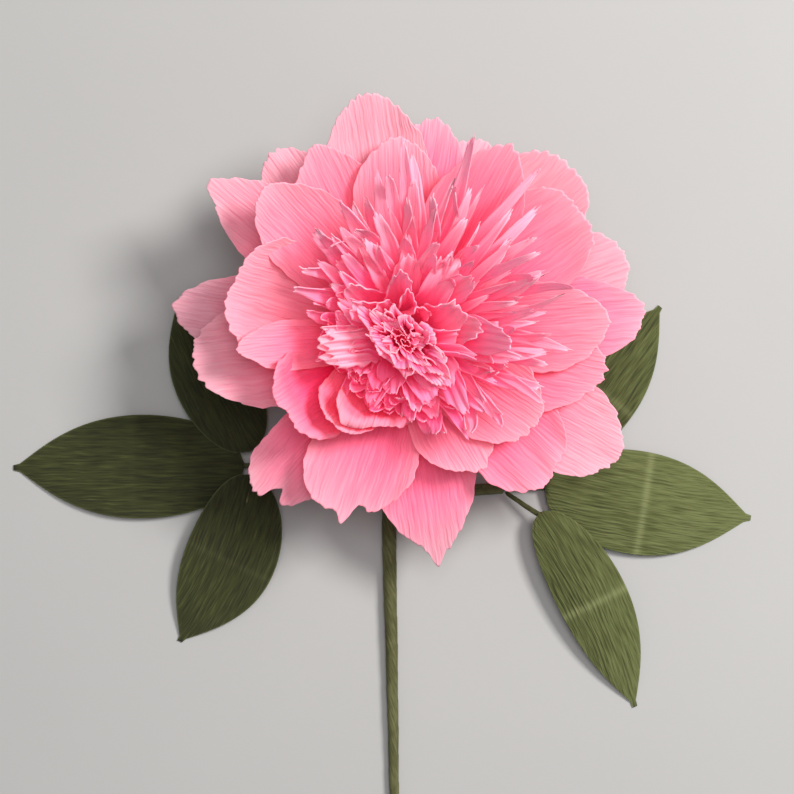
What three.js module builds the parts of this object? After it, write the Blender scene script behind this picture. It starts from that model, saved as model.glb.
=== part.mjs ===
// Crepe paper peony lying on its back, its head facing up and its stem along -Y on the surface.
// Millimetres, +Z up. The origin is under the middle of the flower, on the surface it lies on.
// Every petal, strip and leaf is a thin closed sheet, and neighbouring sheets never touch.

import * as THREE from "three";

// Paper, wire and clearances
const PAPER = 0.35; // thickness of the crepe sheet
const SHEET_GAP = 0.3; // air between one sheet and the next where they are gathered
const FIT_GAP = 0.3; // air between pieces that are wound or glued onto each other
const WIRE_RADIUS = 0.8; // floral wire inside the stem

// Head: sheets are wound outward round the core, and each layer leans further out than the last.
// A layer is one sheet and one gap, and the places below are counted in layers from the core.
const LAYER_PITCH = PAPER + SHEET_GAP;
const LAYER_DROP = 0.25; // each layer starts this much lower than the one inside it
const HEAD_NOD = 5; // degrees that the head's axis leans towards the stem
const INNER_LEAN = 4; // degrees from the head's axis at the core
const OUTER_LEAN = 95; // degrees from the head's axis at the calyx
const FLARE = 20; // length of paper that bends outward, measured from the base
const SEAM = 6; // degrees left open where a wound strip's ends meet

// Core: rolled crepe at the centre
const CORE_RADIUS = 2.4;
const CORE_HEIGHT = 38;
const CORE_FLARE = 2.2; // the rolled strip opens this much beyond its radius at the top
const CORE_FLARE_FROM = 20; // height where it starts to open
const CORE_ROUNDING = 1.2; // of the top edge
const CORE_SOCKET = 14; // depth of the wire inside the core

// Frills: short ruffled strips round the core
const FRILL_COUNT = 2;
const FRILL_FIRST_LAYER = 1.1;
const FRILL_STEP = 1.8; // layers between frills
const FRILL_LENGTH = 20; // above the flare
const FRILL_LENGTH_STEP = 3; // each frill is longer than the one inside it
const FRILL_COLUMNS = 20;
const FRILL_WAVES = 5;
const FRILL_DEPTH = 0.8; // layers of the ruffle at the edge
const FRILL_FLAT = 0.3; // share of its length that lies flat

// Fringe strips: narrow blunt petaloids cut into one strip, longer on one side of the head
const FRINGE_COUNT = 9;
const FRINGE_FIRST_LAYER = FRILL_FIRST_LAYER + FRILL_STEP * FRILL_COUNT;
const FRINGE_STEP = 1.25; // layers between strips
const TAB_PITCH_INNER = 9.2; // width of one cut tab at the band of the first strip
const TAB_PITCH_OUTER = 6.4; // and from the middle strip outward
const TAB_SWELL = 1.12; // widest, as a share of the width at the band
const TAB_WIDEST = 0.6; // share of its free length where a tab is widest
const TAB_TIP = 0.4; // width of the blunt tip, as a share of the widest
const TAB_LONG_SIDE = 50; // azimuth of the side with the longest petaloids
const TAB_LONG_INNER = 26; // above the flare on that side, on the first strip
const TAB_LONG_OUTER = 62; // and on the last strip
const TAB_SHORT_INNER = 18; // above the flare on the opposite side, on the first strip
const TAB_SHORT_OUTER = 15; // and on the last strip
const TAB_SCATTER = 0.14; // uneven cutting, as a share of the length above the flare
const TAB_CURL = 0.5; // layers that the tips curl forward
const TAB_LEAN = 0.4; // layers more or less from one tip to the next
const TAB_FINE = 14; // strips with fewer tabs are drawn with two columns a tab, to stay round

// Wide petals lie in ranks outside the fringe, and the calyx holds the last rank
const PETAL_FIRST_LAYER = FRINGE_FIRST_LAYER + FRINGE_STEP * FRINGE_COUNT;
const PETAL_STEP = 1.2; // layers between ranks
const PETAL_RANKS = 10;
const PETAL_BASE = 6; // half-width where a petal is gathered
const PETAL_WIDEST = 0.72; // share of its length where a petal is widest
const PETAL_ROUNDING = 0.3; // how far the corners of the tip are rounded off, as a share of the length
const PETAL_FULLNESS = 0.96; // share of a whole half-circle that the rounding follows
const PETAL_COLUMNS = 4;
const PETAL_ROWS = 3; // above the flare

// Calyx
const CALYX_LAYER = PETAL_FIRST_LAYER + PETAL_STEP * PETAL_RANKS;
const SEPALS = 5;
const SEPAL_LENGTH = 20; // above the flare
const SEPAL_HALF_WIDTH = 9;
const SEPAL_COLUMNS = 4;

// Receptacle: the wound knob under the petals
const RECEPTACLE_DEPTH = 9; // below the lowest petal edge
const RECEPTACLE_NECK = 3.9; // radius where it meets the stem
const RECEPTACLE_RIM = 2.2; // height of its upright rim
const RECEPTACLE_STEPS = 4;
const TURN_SEGMENTS = 14; // round solids of the head

// Stem
const STEM_TOP_RADIUS = 3.5;
const STEM_END_RADIUS = 1.6;
const STEM_COLLAR = 2; // straight stretch between the receptacle and the bend
const STEM_BEND = 12; // radius of the bend behind the head
const STEM_LENGTH = 240; // along the surface, from the head's centre
const STEM_STRAIGHT = 30; // the last stretch, with an even thickness
// Hand-straightened wire wanders sideways: x at shares of the way from the bend to the last stretch
const STEM_END_X = -3.4;
const STEM_WANDER = [[0.14, -4.2], [0.32, -5.6], [0.55, -4.8], [0.82, -3.8], [1, STEM_END_X]];
const BEND_STEPS = 5;
const STEM_SIDES = 10;
const WIRE_SIDES = 6;

// Leaf branches
const PETIOLE_RADIUS = 2.2;
const STALK_RADIUS = 1.1; // wrapped leaf wire where it leaves the petiole
const STALK_TIP_RADIUS = 0.7;
const STALK_SPREAD = 0.6; // air between the three stalks at the petiole's end
const STALK_FROM = 0.05; // share of the leaf where the wire comes under it
const STALK_TO = 0.68; // share of the leaf where the wire ends
const STALK_STEPS = 3;
const STALK_SIDES = 6;

// Every sheet of the head is drawn on the same distances from its base, so that they stay parallel there
const GATHER = [0, FLARE / 2, FLARE];

// Wide petals. Rank counts outward, azimuth is in degrees round the head from +X, reach is the tip's distance
// from the axis and half the half-width. Point sharpens the tip, or widens it to a fan if negative, cup draws
// the edges forward and curl draws the tip forward, both in layers.
const PETALS = [
  { name: "back_petal_01", rank: 8, azimuth: 6, reach: 91, half: 17, point: 0.06, cup: 0.4, curl: 0 },
  { name: "back_petal_02", rank: 9, azimuth: 20, reach: 88, half: 16, point: -0.04, cup: 0.3, curl: 0.2 },
  { name: "back_petal_03", rank: 7, azimuth: 46, reach: 89, half: 20, point: -0.03, cup: 0.4, curl: 0.3 },
  { name: "back_petal_04", rank: 9, azimuth: 68, reach: 79, half: 16, point: 0.02, cup: 0.3, curl: 0 },
  { name: "back_petal_05", rank: 8, azimuth: 82, reach: 82, half: 16, point: 0.05, cup: 0.4, curl: 0 },
  { name: "back_petal_06", rank: 7, azimuth: 98.5, reach: 91, half: 18.5, point: 0, cup: 0.5, curl: 0.3 },
  { name: "back_petal_07", rank: 9, azimuth: 125, reach: 85, half: 15, point: 0.02, cup: 0.3, curl: 0 },
  { name: "back_petal_08", rank: 8, azimuth: 140, reach: 91, half: 16, point: 0.1, cup: 0.4, curl: 0.2 },
  { name: "back_petal_09", rank: 9, azimuth: 172, reach: 89, half: 15.5, point: 0.1, cup: 0.4, curl: -0.4 },
  { name: "back_petal_10", rank: 7, azimuth: 187, reach: 80, half: 20, point: 0.05, cup: 0.5, curl: 0 },
  { name: "back_petal_11", rank: 8, azimuth: 229, reach: 80, half: 15, point: -0.06, cup: 0.4, curl: -0.3 },
  { name: "back_petal_12", rank: 9, azimuth: 279, reach: 85, half: 20, point: 0.14, cup: 0.4, curl: -0.4 },
  { name: "back_petal_13", rank: 7, azimuth: 332, reach: 91, half: 18, point: -0.02, cup: 0.4, curl: 0 },
  { name: "front_petal_01", rank: 4, azimuth: 5, reach: 75, half: 17, point: 0.03, cup: 0.5, curl: 0 },
  { name: "front_petal_02", rank: 6, azimuth: 36, reach: 81, half: 20, point: -0.03, cup: 0.5, curl: 0.2 },
  { name: "front_petal_03", rank: 3, azimuth: 61, reach: 80, half: 18, point: 0.1, cup: 0.5, curl: 0 },
  { name: "front_petal_04", rank: 5, azimuth: 92, reach: 74, half: 17, point: 0.04, cup: 0.5, curl: 0 },
  { name: "front_petal_05", rank: 6, azimuth: 115, reach: 78, half: 16, point: 0.04, cup: 0.6, curl: 0.2 },
  { name: "front_petal_06", rank: 4, azimuth: 132, reach: 77, half: 17, point: 0.06, cup: 0.6, curl: 0.4 },
  { name: "front_petal_07", rank: 5, azimuth: 161, reach: 69, half: 22, point: -0.1, cup: 0.7, curl: 0.6 },
  { name: "front_petal_08", rank: 2, azimuth: 183, reach: 62, half: 9.5, point: 0.08, cup: 0.7, curl: 0.2 },
  { name: "front_petal_09", rank: 3, azimuth: 211, reach: 57, half: 18, point: -0.08, cup: 0.7, curl: 0.6 },
  { name: "front_petal_10", rank: 1, azimuth: 230, reach: 47, half: 13, point: 0, cup: 0.7, curl: 0.6 },
  { name: "front_petal_11", rank: 5, azimuth: 251, reach: 68, half: 21, point: -0.04, cup: 0.5, curl: -0.2 },
  { name: "front_petal_12", rank: 0, azimuth: 249, reach: 40, half: 16, point: -0.1, cup: 0.6, curl: 0.6 },
  { name: "front_petal_13", rank: 4, azimuth: 300, reach: 56, half: 17, point: 0.05, cup: 0.5, curl: 0 },
  { name: "front_petal_14", rank: 6, azimuth: 319, reach: 75, half: 20, point: -0.02, cup: 0.5, curl: 0 },
  { name: "front_petal_15", rank: 3, azimuth: 327, reach: 58, half: 18, point: 0.02, cup: 0.5, curl: 0 },
  { name: "front_petal_16", rank: 5, azimuth: 350, reach: 75, half: 18, point: 0.03, cup: 0.5, curl: 0 },
];

// Leaf branches seen from above, from the head's centre: where the petiole leaves the stem and ends, and
// each leaf's base and tip. Bow draws its middle to the left of the way it points, height is its clearance
// at its base and arch its rise in the middle.
const LEFT_REACH = -155; // the tip of the leaf that lies furthest left
const RIGHT_REACH = 138; // and furthest right
const LOWER_REACH = -146; // and nearest to the stem's end
const BRANCHES = [
  {
    name: "left",
    joins: -58,
    end: [-50, -50],
    leaves: [
      { name: "upper", base: [-60, -44], tip: [-90, 15], half: 16, bow: 0.5, height: 5, arch: 4 },
      { name: "middle", base: [-63, -50], tip: [LEFT_REACH, -51], half: 20.5, bow: 0, height: 4, arch: 3 },
      { name: "lower", base: [-58, -54], tip: [-89, -120], half: 18, bow: 4.5, height: 8.5, arch: 4 },
    ],
  },
  {
    name: "right",
    joins: -62,
    end: [40, -59],
    leaves: [
      { name: "lower", base: [54, -68], tip: [92, LOWER_REACH], half: 13.8, bow: 3.5, height: 8.5, arch: 4 },
      { name: "middle", base: [56, -58], tip: [RIGHT_REACH, -71], half: 20.5, bow: -1, height: 4, arch: 3 },
      { name: "upper", base: [53, -50], tip: [102, 13], half: 16.5, bow: -1, height: 5, arch: 4 },
    ],
  },
];
const LEAF_ROWS = 7;
const LEAF_COLUMNS = 4;
const LEAF_END = 1; // half-width left at a leaf's base and tip
const LEAF_SKEW = 0.85; // under 1 the leaf is widest on its base's side of the middle
const LEAF_FULLNESS = 0.6; // under 1 its base is blunter
const LEAF_TAPER = 0.5; // added to the fullness towards the tip, which makes it sharper
const LEAF_DROOP = 2.2; // the edges hang this much below the midline

const PINK = new THREE.Color(0xf48aa6);
const PALE_PINK = new THREE.Color(0xf3a9bb);
const DEEP_PINK = new THREE.Color(0xee5f88);
const LEAF_GREEN = new THREE.Color(0x5f6f38);
const STEM_GREEN = new THREE.Color(0x6d7443);
const WIRE_GREY = new THREE.Color(0x8d9092);

const radians = THREE.MathUtils.degToRad;
const lerp = THREE.MathUtils.lerp;

// An even scatter between -1 and 1 that is the same every time.
function scatter(index) {
  const GOLDEN = 0.6180339887;
  return 2 * ((index * GOLDEN) % 1) - 1;
}

function addMesh(group, name, geometry, color, metalness = 0, roughness = 0.9) {
  geometry.computeVertexNormals();
  const mesh = new THREE.Mesh(geometry, new THREE.MeshStandardMaterial({ color, metalness, roughness }));
  mesh.name = name;
  group.add(mesh);
}

function geometryOf(points, triangles) {
  const positions = points.flatMap((p) => [p.x, p.y, p.z]);
  return new THREE.BufferGeometry()
    .setAttribute("position", new THREE.Float32BufferAttribute(positions, 3))
    .setIndex(triangles.flat());
}

// A closed sheet: the middle surface's points moved half a thickness both ways along their normals,
// its cells drawn on both sides, and a rim along every edge that only one cell has.
function sheetGeometry({ points, cells }) {
  const faces = cells.flatMap((c) => (c.length === 3 ? [c] : [[c[0], c[1], c[2]], [c[0], c[2], c[3]]]));
  const normals = points.map(() => new THREE.Vector3());
  for (const [a, b, c] of faces) {
    const ab = points[b].clone().sub(points[a]);
    const normal = ab.cross(points[c].clone().sub(points[a]));
    [a, b, c].forEach((i) => normals[i].add(normal));
  }
  normals.forEach((n) => n.setLength(PAPER / 2));
  const count = points.length;
  const front = points.map((p, i) => p.clone().add(normals[i]));
  const back = points.map((p, i) => p.clone().sub(normals[i]));
  const edges = new Set(faces.flatMap(([a, b, c]) => [`${a},${b}`, `${b},${c}`, `${c},${a}`]));
  const rim = [...edges]
    .map((edge) => edge.split(",").map(Number))
    .filter(([a, b]) => !edges.has(`${b},${a}`))
    .flatMap(([a, b]) => [[b, a, a + count], [b, a + count, b + count]]);
  const reverse = faces.map(([a, b, c]) => [a + count, c + count, b + count]);
  return geometryOf([...front, ...back], [...faces, ...reverse, ...rim]);
}

// A grid of columns by rows of cells, with across and along running from 0 to 1.
function gridSheet(columns, rows, pointAt) {
  const points = [];
  const cells = [];
  for (let row = 0; row <= rows; row++) {
    for (let column = 0; column <= columns; column++) points.push(pointAt(column / columns, row));
  }
  for (let row = 0; row < rows; row++) {
    for (let column = 0; column < columns; column++) {
      const first = row * (columns + 1) + column;
      cells.push([first, first + 1, first + columns + 2, first + columns + 1]);
    }
  }
  return { points, cells };
}

// A round solid along a row of centres, with a radius at each one and an optional bore.
function sweepGeometry(centres, radii, sides, bore = 0) {
  const curve = new THREE.CatmullRomCurve3(centres, false, "centripetal");
  const side = new THREE.Vector3(1, 0, 0.01);
  const points = [];
  const ring = (centre, u, v, radius) => {
    for (let k = 0; k < sides; k++) {
      const turn = (2 * Math.PI * k) / sides;
      const spoke = u.clone().multiplyScalar(Math.cos(turn)).addScaledVector(v, Math.sin(turn));
      points.push(spoke.multiplyScalar(radius).add(centre));
    }
  };
  const frames = centres.map((centre, i) => {
    const tangent = curve.getTangent(i / (centres.length - 1));
    side.addScaledVector(tangent, -side.dot(tangent)).normalize();
    return { centre, u: side.clone(), v: tangent.clone().cross(side) };
  });
  frames.forEach(({ centre, u, v }, i) => ring(centre, u, v, radii[i]));
  const last = (centres.length - 1) * sides;
  const triangles = [];
  const wall = (start, inward) => {
    for (let i = 0; i < centres.length - 1; i++) {
      for (let k = 0; k < sides; k++) {
        const a = start + i * sides + k;
        const b = start + i * sides + ((k + 1) % sides);
        const quad = [[a, b, b + sides], [a, b + sides, a + sides]];
        triangles.push(...(inward ? quad.map(([x, y, z]) => [x, z, y]) : quad));
      }
    }
  };
  wall(0, false);
  if (bore) {
    const inner = points.length;
    frames.forEach(({ centre, u, v }) => ring(centre, u, v, bore));
    wall(inner, true);
    for (let k = 0; k < sides; k++) {
      const next = (k + 1) % sides;
      triangles.push([k, inner + k, inner + next], [k, inner + next, next]);
      const [a, b, c, d] = [last + k, last + next, inner + last + next, inner + last + k];
      triangles.push([a, b, c], [a, c, d]);
    }
  } else {
    const first = points.push(centres[0].clone()) - 1;
    const end = points.push(centres.at(-1).clone()) - 1;
    for (let k = 0; k < sides; k++) {
      const next = (k + 1) % sides;
      triangles.push([first, next, k], [end, last + k, last + next]);
    }
  }
  return geometryOf(points, triangles);
}

// A round solid about the head's axis from a closed outline of [radius, height] points.
function turnedGeometry(outline) {
  const profile = outline.map(([radius, height]) => new THREE.Vector2(radius, height));
  return new THREE.LatheGeometry(profile, TURN_SEGMENTS).rotateX(Math.PI / 2);
}

function leanOf(layer) {
  return radians(lerp(INNER_LEAN, OUTER_LEAN, layer / CALYX_LAYER));
}

function baseOf(layer) {
  return { radius: CORE_RADIUS + LAYER_PITCH * (layer + 1), height: -LAYER_DROP * layer };
}

// A layer's section: an arc that turns from upright to the layer's lean, then a straight run.
function section(layer, along) {
  const lean = leanOf(layer);
  const base = baseOf(layer);
  const arc = FLARE / lean;
  const bend = (lean * Math.min(along, FLARE)) / FLARE;
  const run = Math.max(along - FLARE, 0);
  return {
    radius: base.radius + arc * (1 - Math.cos(bend)) + run * Math.sin(lean),
    height: base.height + arc * Math.sin(bend) + run * Math.cos(lean),
  };
}

function headPoint(layer, angle, along) {
  const { radius, height } = section(layer, along);
  return new THREE.Vector3(radius * Math.cos(angle), radius * Math.sin(angle), height);
}

// The length of paper that a layer needs to reach a distance from the axis.
function lengthFor(layer, reach) {
  return FLARE + (reach - section(layer, FLARE).radius) / Math.sin(leanOf(layer));
}

// Half-width of a wide petal: gathered at its base, and widening to a rounded tip.
function petalHalfWidth(petal, share) {
  return lerp(PETAL_BASE, petal.half, Math.sin((Math.PI / 2) * Math.min(share / PETAL_WIDEST, 1)));
}

// How far up a wide petal reaches at a place across it, as a share of its length.
function petalTop(petal, u) {
  const corner = 1 - Math.sqrt(1 - PETAL_FULLNESS * u * u);
  return 1 - PETAL_ROUNDING * corner - petal.point * Math.abs(u);
}

function widePetal(petal) {
  const flat = PETAL_FIRST_LAYER + PETAL_STEP * petal.rank;
  const length = lengthFor(flat, petal.reach);
  return gridSheet(PETAL_COLUMNS, GATHER.length - 1 + PETAL_ROWS, (across, row) => {
    const u = 2 * across - 1;
    const rise = Math.max(row - GATHER.length + 1, 0) / PETAL_ROWS;
    const top = length * petalTop(petal, u);
    const along = row < GATHER.length ? GATHER[row] : lerp(FLARE, top, rise);
    const lift = (along / length) ** 2 * petal.cup * u * u + petal.curl * rise ** 2;
    const layer = flat - lift;
    const spread = (u * petalHalfWidth(petal, along / length)) / section(layer, along).radius;
    return headPoint(layer, radians(petal.azimuth) + spread, along);
  });
}

// A strip wound once round the head: a band, and blunt tabs cut into its upper edge.
function tabbedStrip({ layer, tabs, columns, start, halfWidth, tabLength, tabLean }) {
  const turn = radians(360 - SEAM);
  const pitch = turn / tabs;
  const bandColumns = columns * tabs;
  const { points, cells } = gridSheet(bandColumns, GATHER.length - 1, (across, row) =>
    headPoint(layer, start + turn * across, GATHER[row]),
  );
  const bandTop = (GATHER.length - 1) * (bandColumns + 1);
  for (let tab = 0; tab < tabs; tab++) {
    const middle = start + (tab + 0.5) * pitch;
    const length = FLARE + tabLength(tab, middle);
    const widest = lerp(FLARE, length, TAB_WIDEST);
    const leaning = layer + tabLean(tab) * TAB_WIDEST ** 2;
    const spread = halfWidth / section(leaning, widest).radius;
    const foot = bandTop + columns * tab;
    const shoulder = points.length;
    const tip = shoulder + columns + 1;
    const tipSpread = spread * TAB_TIP * (section(leaning, widest).radius / section(layer, length).radius);
    const sides = Array.from({ length: columns + 1 }, (_, column) => (2 * column) / columns - 1);
    sides.forEach((side) => points.push(headPoint(leaning, middle + side * spread, widest)));
    sides.forEach((side) => points.push(headPoint(layer + tabLean(tab), middle + side * tipSpread, length)));
    for (let column = 0; column < columns; column++) {
      const [low, high, top] = [foot + column, shoulder + column, tip + column];
      cells.push([low, low + 1, high + 1, high], [high, high + 1, top + 1, top]);
    }
  }
  return { points, cells };
}

function fringeStrip(index) {
  const layer = FRINGE_FIRST_LAYER + FRINGE_STEP * index;
  const girth = radians(360 - SEAM) * section(layer, FLARE).radius;
  const outward = index / (FRINGE_COUNT - 1);
  const tabs = Math.floor(girth / lerp(TAB_PITCH_INNER, TAB_PITCH_OUTER, Math.min(2 * outward, 1)));
  const long = lerp(TAB_LONG_INNER, TAB_LONG_OUTER, outward);
  const short = lerp(TAB_SHORT_INNER, TAB_SHORT_OUTER, outward);
  return tabbedStrip({
    layer,
    tabs,
    columns: tabs < TAB_FINE ? 2 : 1,
    start: Math.PI * scatter(index + 1),
    halfWidth: (TAB_SWELL * girth) / tabs / 2,
    tabLength: (tab, angle) => {
      const side = (1 + Math.cos(angle - radians(TAB_LONG_SIDE))) / 2;
      return lerp(short, long, side) * (1 + TAB_SCATTER * scatter(7 * index + tab));
    },
    tabLean: (tab) => -TAB_CURL + TAB_LEAN * scatter(3 * index + 2 * tab),
  });
}

function calyxStrip() {
  return tabbedStrip({
    layer: CALYX_LAYER,
    tabs: SEPALS,
    columns: SEPAL_COLUMNS,
    start: 0,
    halfWidth: SEPAL_HALF_WIDTH,
    tabLength: () => SEPAL_LENGTH,
    tabLean: () => 0,
  });
}

function frill(index) {
  const layer = FRILL_FIRST_LAYER + FRILL_STEP * index;
  const length = FLARE + FRILL_LENGTH + FRILL_LENGTH_STEP * index;
  const turn = radians(360 - SEAM);
  return gridSheet(FRILL_COLUMNS, GATHER.length, (across, row) => {
    const along = row < GATHER.length ? GATHER[row] : length;
    const wave = Math.sin(2 * Math.PI * FRILL_WAVES * across + index);
    const ruffle = FRILL_DEPTH * wave * Math.max(along / length - FRILL_FLAT, 0);
    return headPoint(layer + ruffle, turn * across + index, along);
  });
}

function coreOutline() {
  const bore = WIRE_RADIUS + FIT_GAP;
  const opened = CORE_RADIUS + CORE_FLARE;
  return [
    [0, CORE_HEIGHT],
    [opened - CORE_ROUNDING, CORE_HEIGHT],
    [opened, CORE_HEIGHT - CORE_ROUNDING],
    [CORE_RADIUS, CORE_FLARE_FROM],
    [CORE_RADIUS, 0],
    [bore, 0],
    [bore, CORE_SOCKET + FIT_GAP],
    [0, CORE_SOCKET + FIT_GAP],
  ].reverse();
}

// The knob follows the cone of the petals' lower edges, and narrows to the stem behind them.
function receptacleOutline() {
  const bore = WIRE_RADIUS + FIT_GAP;
  const rim = baseOf(CALYX_LAYER + 1);
  const bottom = rim.height - RECEPTACLE_DEPTH;
  const clear = FIT_GAP + PAPER;
  const belly = Array.from({ length: RECEPTACLE_STEPS + 1 }, (_, i) => {
    const turn = (Math.PI / 2) * (i / RECEPTACLE_STEPS);
    const radius = lerp(RECEPTACLE_NECK, rim.radius, Math.sin(turn));
    return [radius, lerp(bottom, rim.height - RECEPTACLE_RIM, 1 - Math.cos(turn))];
  });
  return [
    [bore, bottom],
    ...belly,
    [rim.radius, rim.height - clear],
    [baseOf(0).radius, baseOf(0).height - clear],
    [bore, -clear],
    [bore, bottom],
  ];
}

// Stem: straight out of the core, round the bend, then along the surface that the flower lies on.
function stemLine() {
  const nod = radians(HEAD_NOD);
  const axis = new THREE.Vector3(0, -Math.sin(nod), Math.cos(nod));
  const exitDepth = RECEPTACLE_DEPTH - baseOf(CALYX_LAYER + 1).height + FIT_GAP;
  const bendDepth = exitDepth + STEM_COLLAR;
  const headHeight = bendDepth * Math.cos(nod) + STEM_BEND * (1 + Math.sin(nod)) + STEM_TOP_RADIUS;
  const head = new THREE.Vector3(0, 0, headHeight);
  const collar = head.clone().addScaledVector(axis, -exitDepth);
  const exit = head.clone().addScaledVector(axis, -bendDepth);
  const inside = [head.clone().addScaledVector(axis, CORE_SOCKET), head.clone()];
  const bend = Array.from({ length: BEND_STEPS + 1 }, (_, i) => {
    const heading = lerp(-nod, Math.PI / 2, i / BEND_STEPS);
    const y = exit.y + STEM_BEND * (Math.cos(heading) - Math.cos(nod));
    const z = exit.z - STEM_BEND * (Math.sin(heading) + Math.sin(nod));
    return new THREE.Vector3(0, y, z);
  });
  const flat = bend.at(-1).y;
  const straight = STEM_STRAIGHT - STEM_LENGTH;
  const taper = (y) => lerp(STEM_TOP_RADIUS, STEM_END_RADIUS, Math.min((flat - y) / (flat - straight), 1));
  const run = [
    ...STEM_WANDER.map(([share, x]) => [x, lerp(flat, straight, share)]),
    [STEM_END_X, straight - STEM_STRAIGHT / 2],
    [STEM_END_X, -STEM_LENGTH],
  ].map(([x, y]) => new THREE.Vector3(x, y, taper(y)));
  const wrapped = [collar, ...bend, ...run];
  return {
    head,
    wire: [...inside, ...wrapped],
    wrapped,
    radii: wrapped.map((p, i) => (i > bend.length ? taper(p.y) : STEM_TOP_RADIUS)),
    at: (y) => {
      const next = run.findIndex((p) => p.y <= y);
      const [a, b] = [run[next - 1] ?? bend.at(-1), run[next]];
      return a.clone().lerp(b, (y - a.y) / (b.y - a.y));
    },
  };
}

// Half-width of a leaf as a share of its widest: pointed at both ends and fuller towards its base.
function leafOutline(share) {
  const skewed = share ** LEAF_SKEW;
  return (4 * skewed * (1 - skewed)) ** (LEAF_FULLNESS + LEAF_TAPER * share * share);
}

function leafSurface(leaf) {
  const base = new THREE.Vector2(...leaf.base);
  const tip = new THREE.Vector2(...leaf.tip);
  const line = tip.clone().sub(base);
  const side = new THREE.Vector2(-line.y, line.x).normalize();
  return (u, share) => {
    const outline = leafOutline(share);
    const halfWidth = Math.max(leaf.half * outline, LEAF_END);
    const offset = u * halfWidth + leaf.bow * 4 * share * (1 - share);
    const plan = base.clone().addScaledVector(line, share).addScaledVector(side, offset);
    const crown = lerp(leaf.height, PAPER / 2, share) + leaf.arch * 4 * share * (1 - share);
    return new THREE.Vector3(plan.x, plan.y, crown - LEAF_DROOP * u * u * outline);
  };
}

function leafSheet(leaf) {
  const surface = leafSurface(leaf);
  return gridSheet(LEAF_COLUMNS, LEAF_ROWS, (across, row) => surface(1 - 2 * across, row / LEAF_ROWS));
}

// A wrapped wire from the petiole's end to the leaf, then along the underside of its midline.
function leafStalk(leaf, start) {
  const surface = leafSurface(leaf);
  const under = PAPER / 2 + FIT_GAP + STALK_RADIUS;
  const below = Array.from({ length: STALK_STEPS + 1 }, (_, i) => {
    const crown = surface(0, lerp(STALK_FROM, STALK_TO, i / STALK_STEPS));
    return crown.setZ(crown.z - under);
  });
  const halfway = start.clone().lerp(below[0], 0.5);
  const centres = [start, halfway, ...below];
  const radii = centres.map((_, i) => lerp(STALK_RADIUS, STALK_TIP_RADIUS, i / (centres.length - 1)));
  return sweepGeometry(centres, radii, STALK_SIDES);
}

function addBranch(group, branch, stem) {
  const joint = stem.at(branch.joins);
  const end = new THREE.Vector3(...branch.end, PETIOLE_RADIUS);
  const outward = end.clone().sub(joint).setZ(0).normalize();
  const slant = PETIOLE_RADIUS * Math.abs(outward.y);
  const start = joint.clone().addScaledVector(outward, STEM_TOP_RADIUS + FIT_GAP + slant);
  const petiole = sweepGeometry([start, end], [PETIOLE_RADIUS, PETIOLE_RADIUS], STEM_SIDES);
  addMesh(group, `petiole_${branch.name}`, petiole, STEM_GREEN);
  const across = new THREE.Vector3(-outward.y, outward.x, 0);
  branch.leaves.forEach((leaf, i) => {
    const stalkStart = end
      .clone()
      .addScaledVector(outward, FIT_GAP + STALK_RADIUS)
      .addScaledVector(across, (i - 1) * (2 * STALK_RADIUS + STALK_SPREAD));
    const name = `${branch.name}_${leaf.name}`;
    addMesh(group, `leaf_wire_${name}`, leafStalk(leaf, stalkStart), STEM_GREEN);
    addMesh(group, `leaf_${name}`, sheetGeometry(leafSheet(leaf)), LEAF_GREEN);
  });
}

function buildHead(stem) {
  const head = new THREE.Group();
  head.position.copy(stem.head);
  head.rotation.x = radians(HEAD_NOD);
  addMesh(head, "core_roll", turnedGeometry(coreOutline()), DEEP_PINK);
  addMesh(head, "receptacle", turnedGeometry(receptacleOutline()), STEM_GREEN);
  addMesh(head, "calyx", sheetGeometry(calyxStrip()), LEAF_GREEN);
  for (let i = 0; i < FRILL_COUNT; i++) {
    addMesh(head, `centre_frill_${i + 1}`, sheetGeometry(frill(i)), DEEP_PINK);
  }
  for (let i = 0; i < FRINGE_COUNT; i++) {
    const shade = DEEP_PINK.clone().lerp(PINK, i / (FRINGE_COUNT - 1));
    addMesh(head, `fringe_strip_${i + 1}`, sheetGeometry(fringeStrip(i)), shade);
  }
  for (const petal of PETALS) {
    const shade = petal.name.startsWith("back") ? PALE_PINK : PINK;
    addMesh(head, petal.name, sheetGeometry(widePetal(petal)), shade);
  }
  return head;
}

function buildPeony() {
  const flower = new THREE.Group();
  const stem = stemLine();
  const wireRadii = stem.wire.map(() => WIRE_RADIUS);
  const bore = WIRE_RADIUS + FIT_GAP;
  addMesh(flower, "stem_wire", sweepGeometry(stem.wire, wireRadii, WIRE_SIDES), WIRE_GREY, 0.8, 0.4);
  addMesh(flower, "stem_wrap", sweepGeometry(stem.wrapped, stem.radii, STEM_SIDES, bore), STEM_GREEN);
  BRANCHES.forEach((branch) => addBranch(flower, branch, stem));
  flower.add(buildHead(stem));
  const box = new THREE.Box3().setFromObject(flower, true);
  const middle = box.getCenter(new THREE.Vector3());
  flower.position.set(-middle.x, -middle.y, -box.min.z);
  const peony = new THREE.Group();
  peony.add(flower);
  return peony;
}

export default buildPeony();
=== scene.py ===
"""Crepe paper peony: fine paper sheets, wrapped stem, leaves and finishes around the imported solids.

Shapes are worked out in millimetres, head pieces about the head's own axis, and turned to metres in the
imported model's frame when their mesh is made. Each sheet follows the solid that it stands for.
"""

import math

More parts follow.
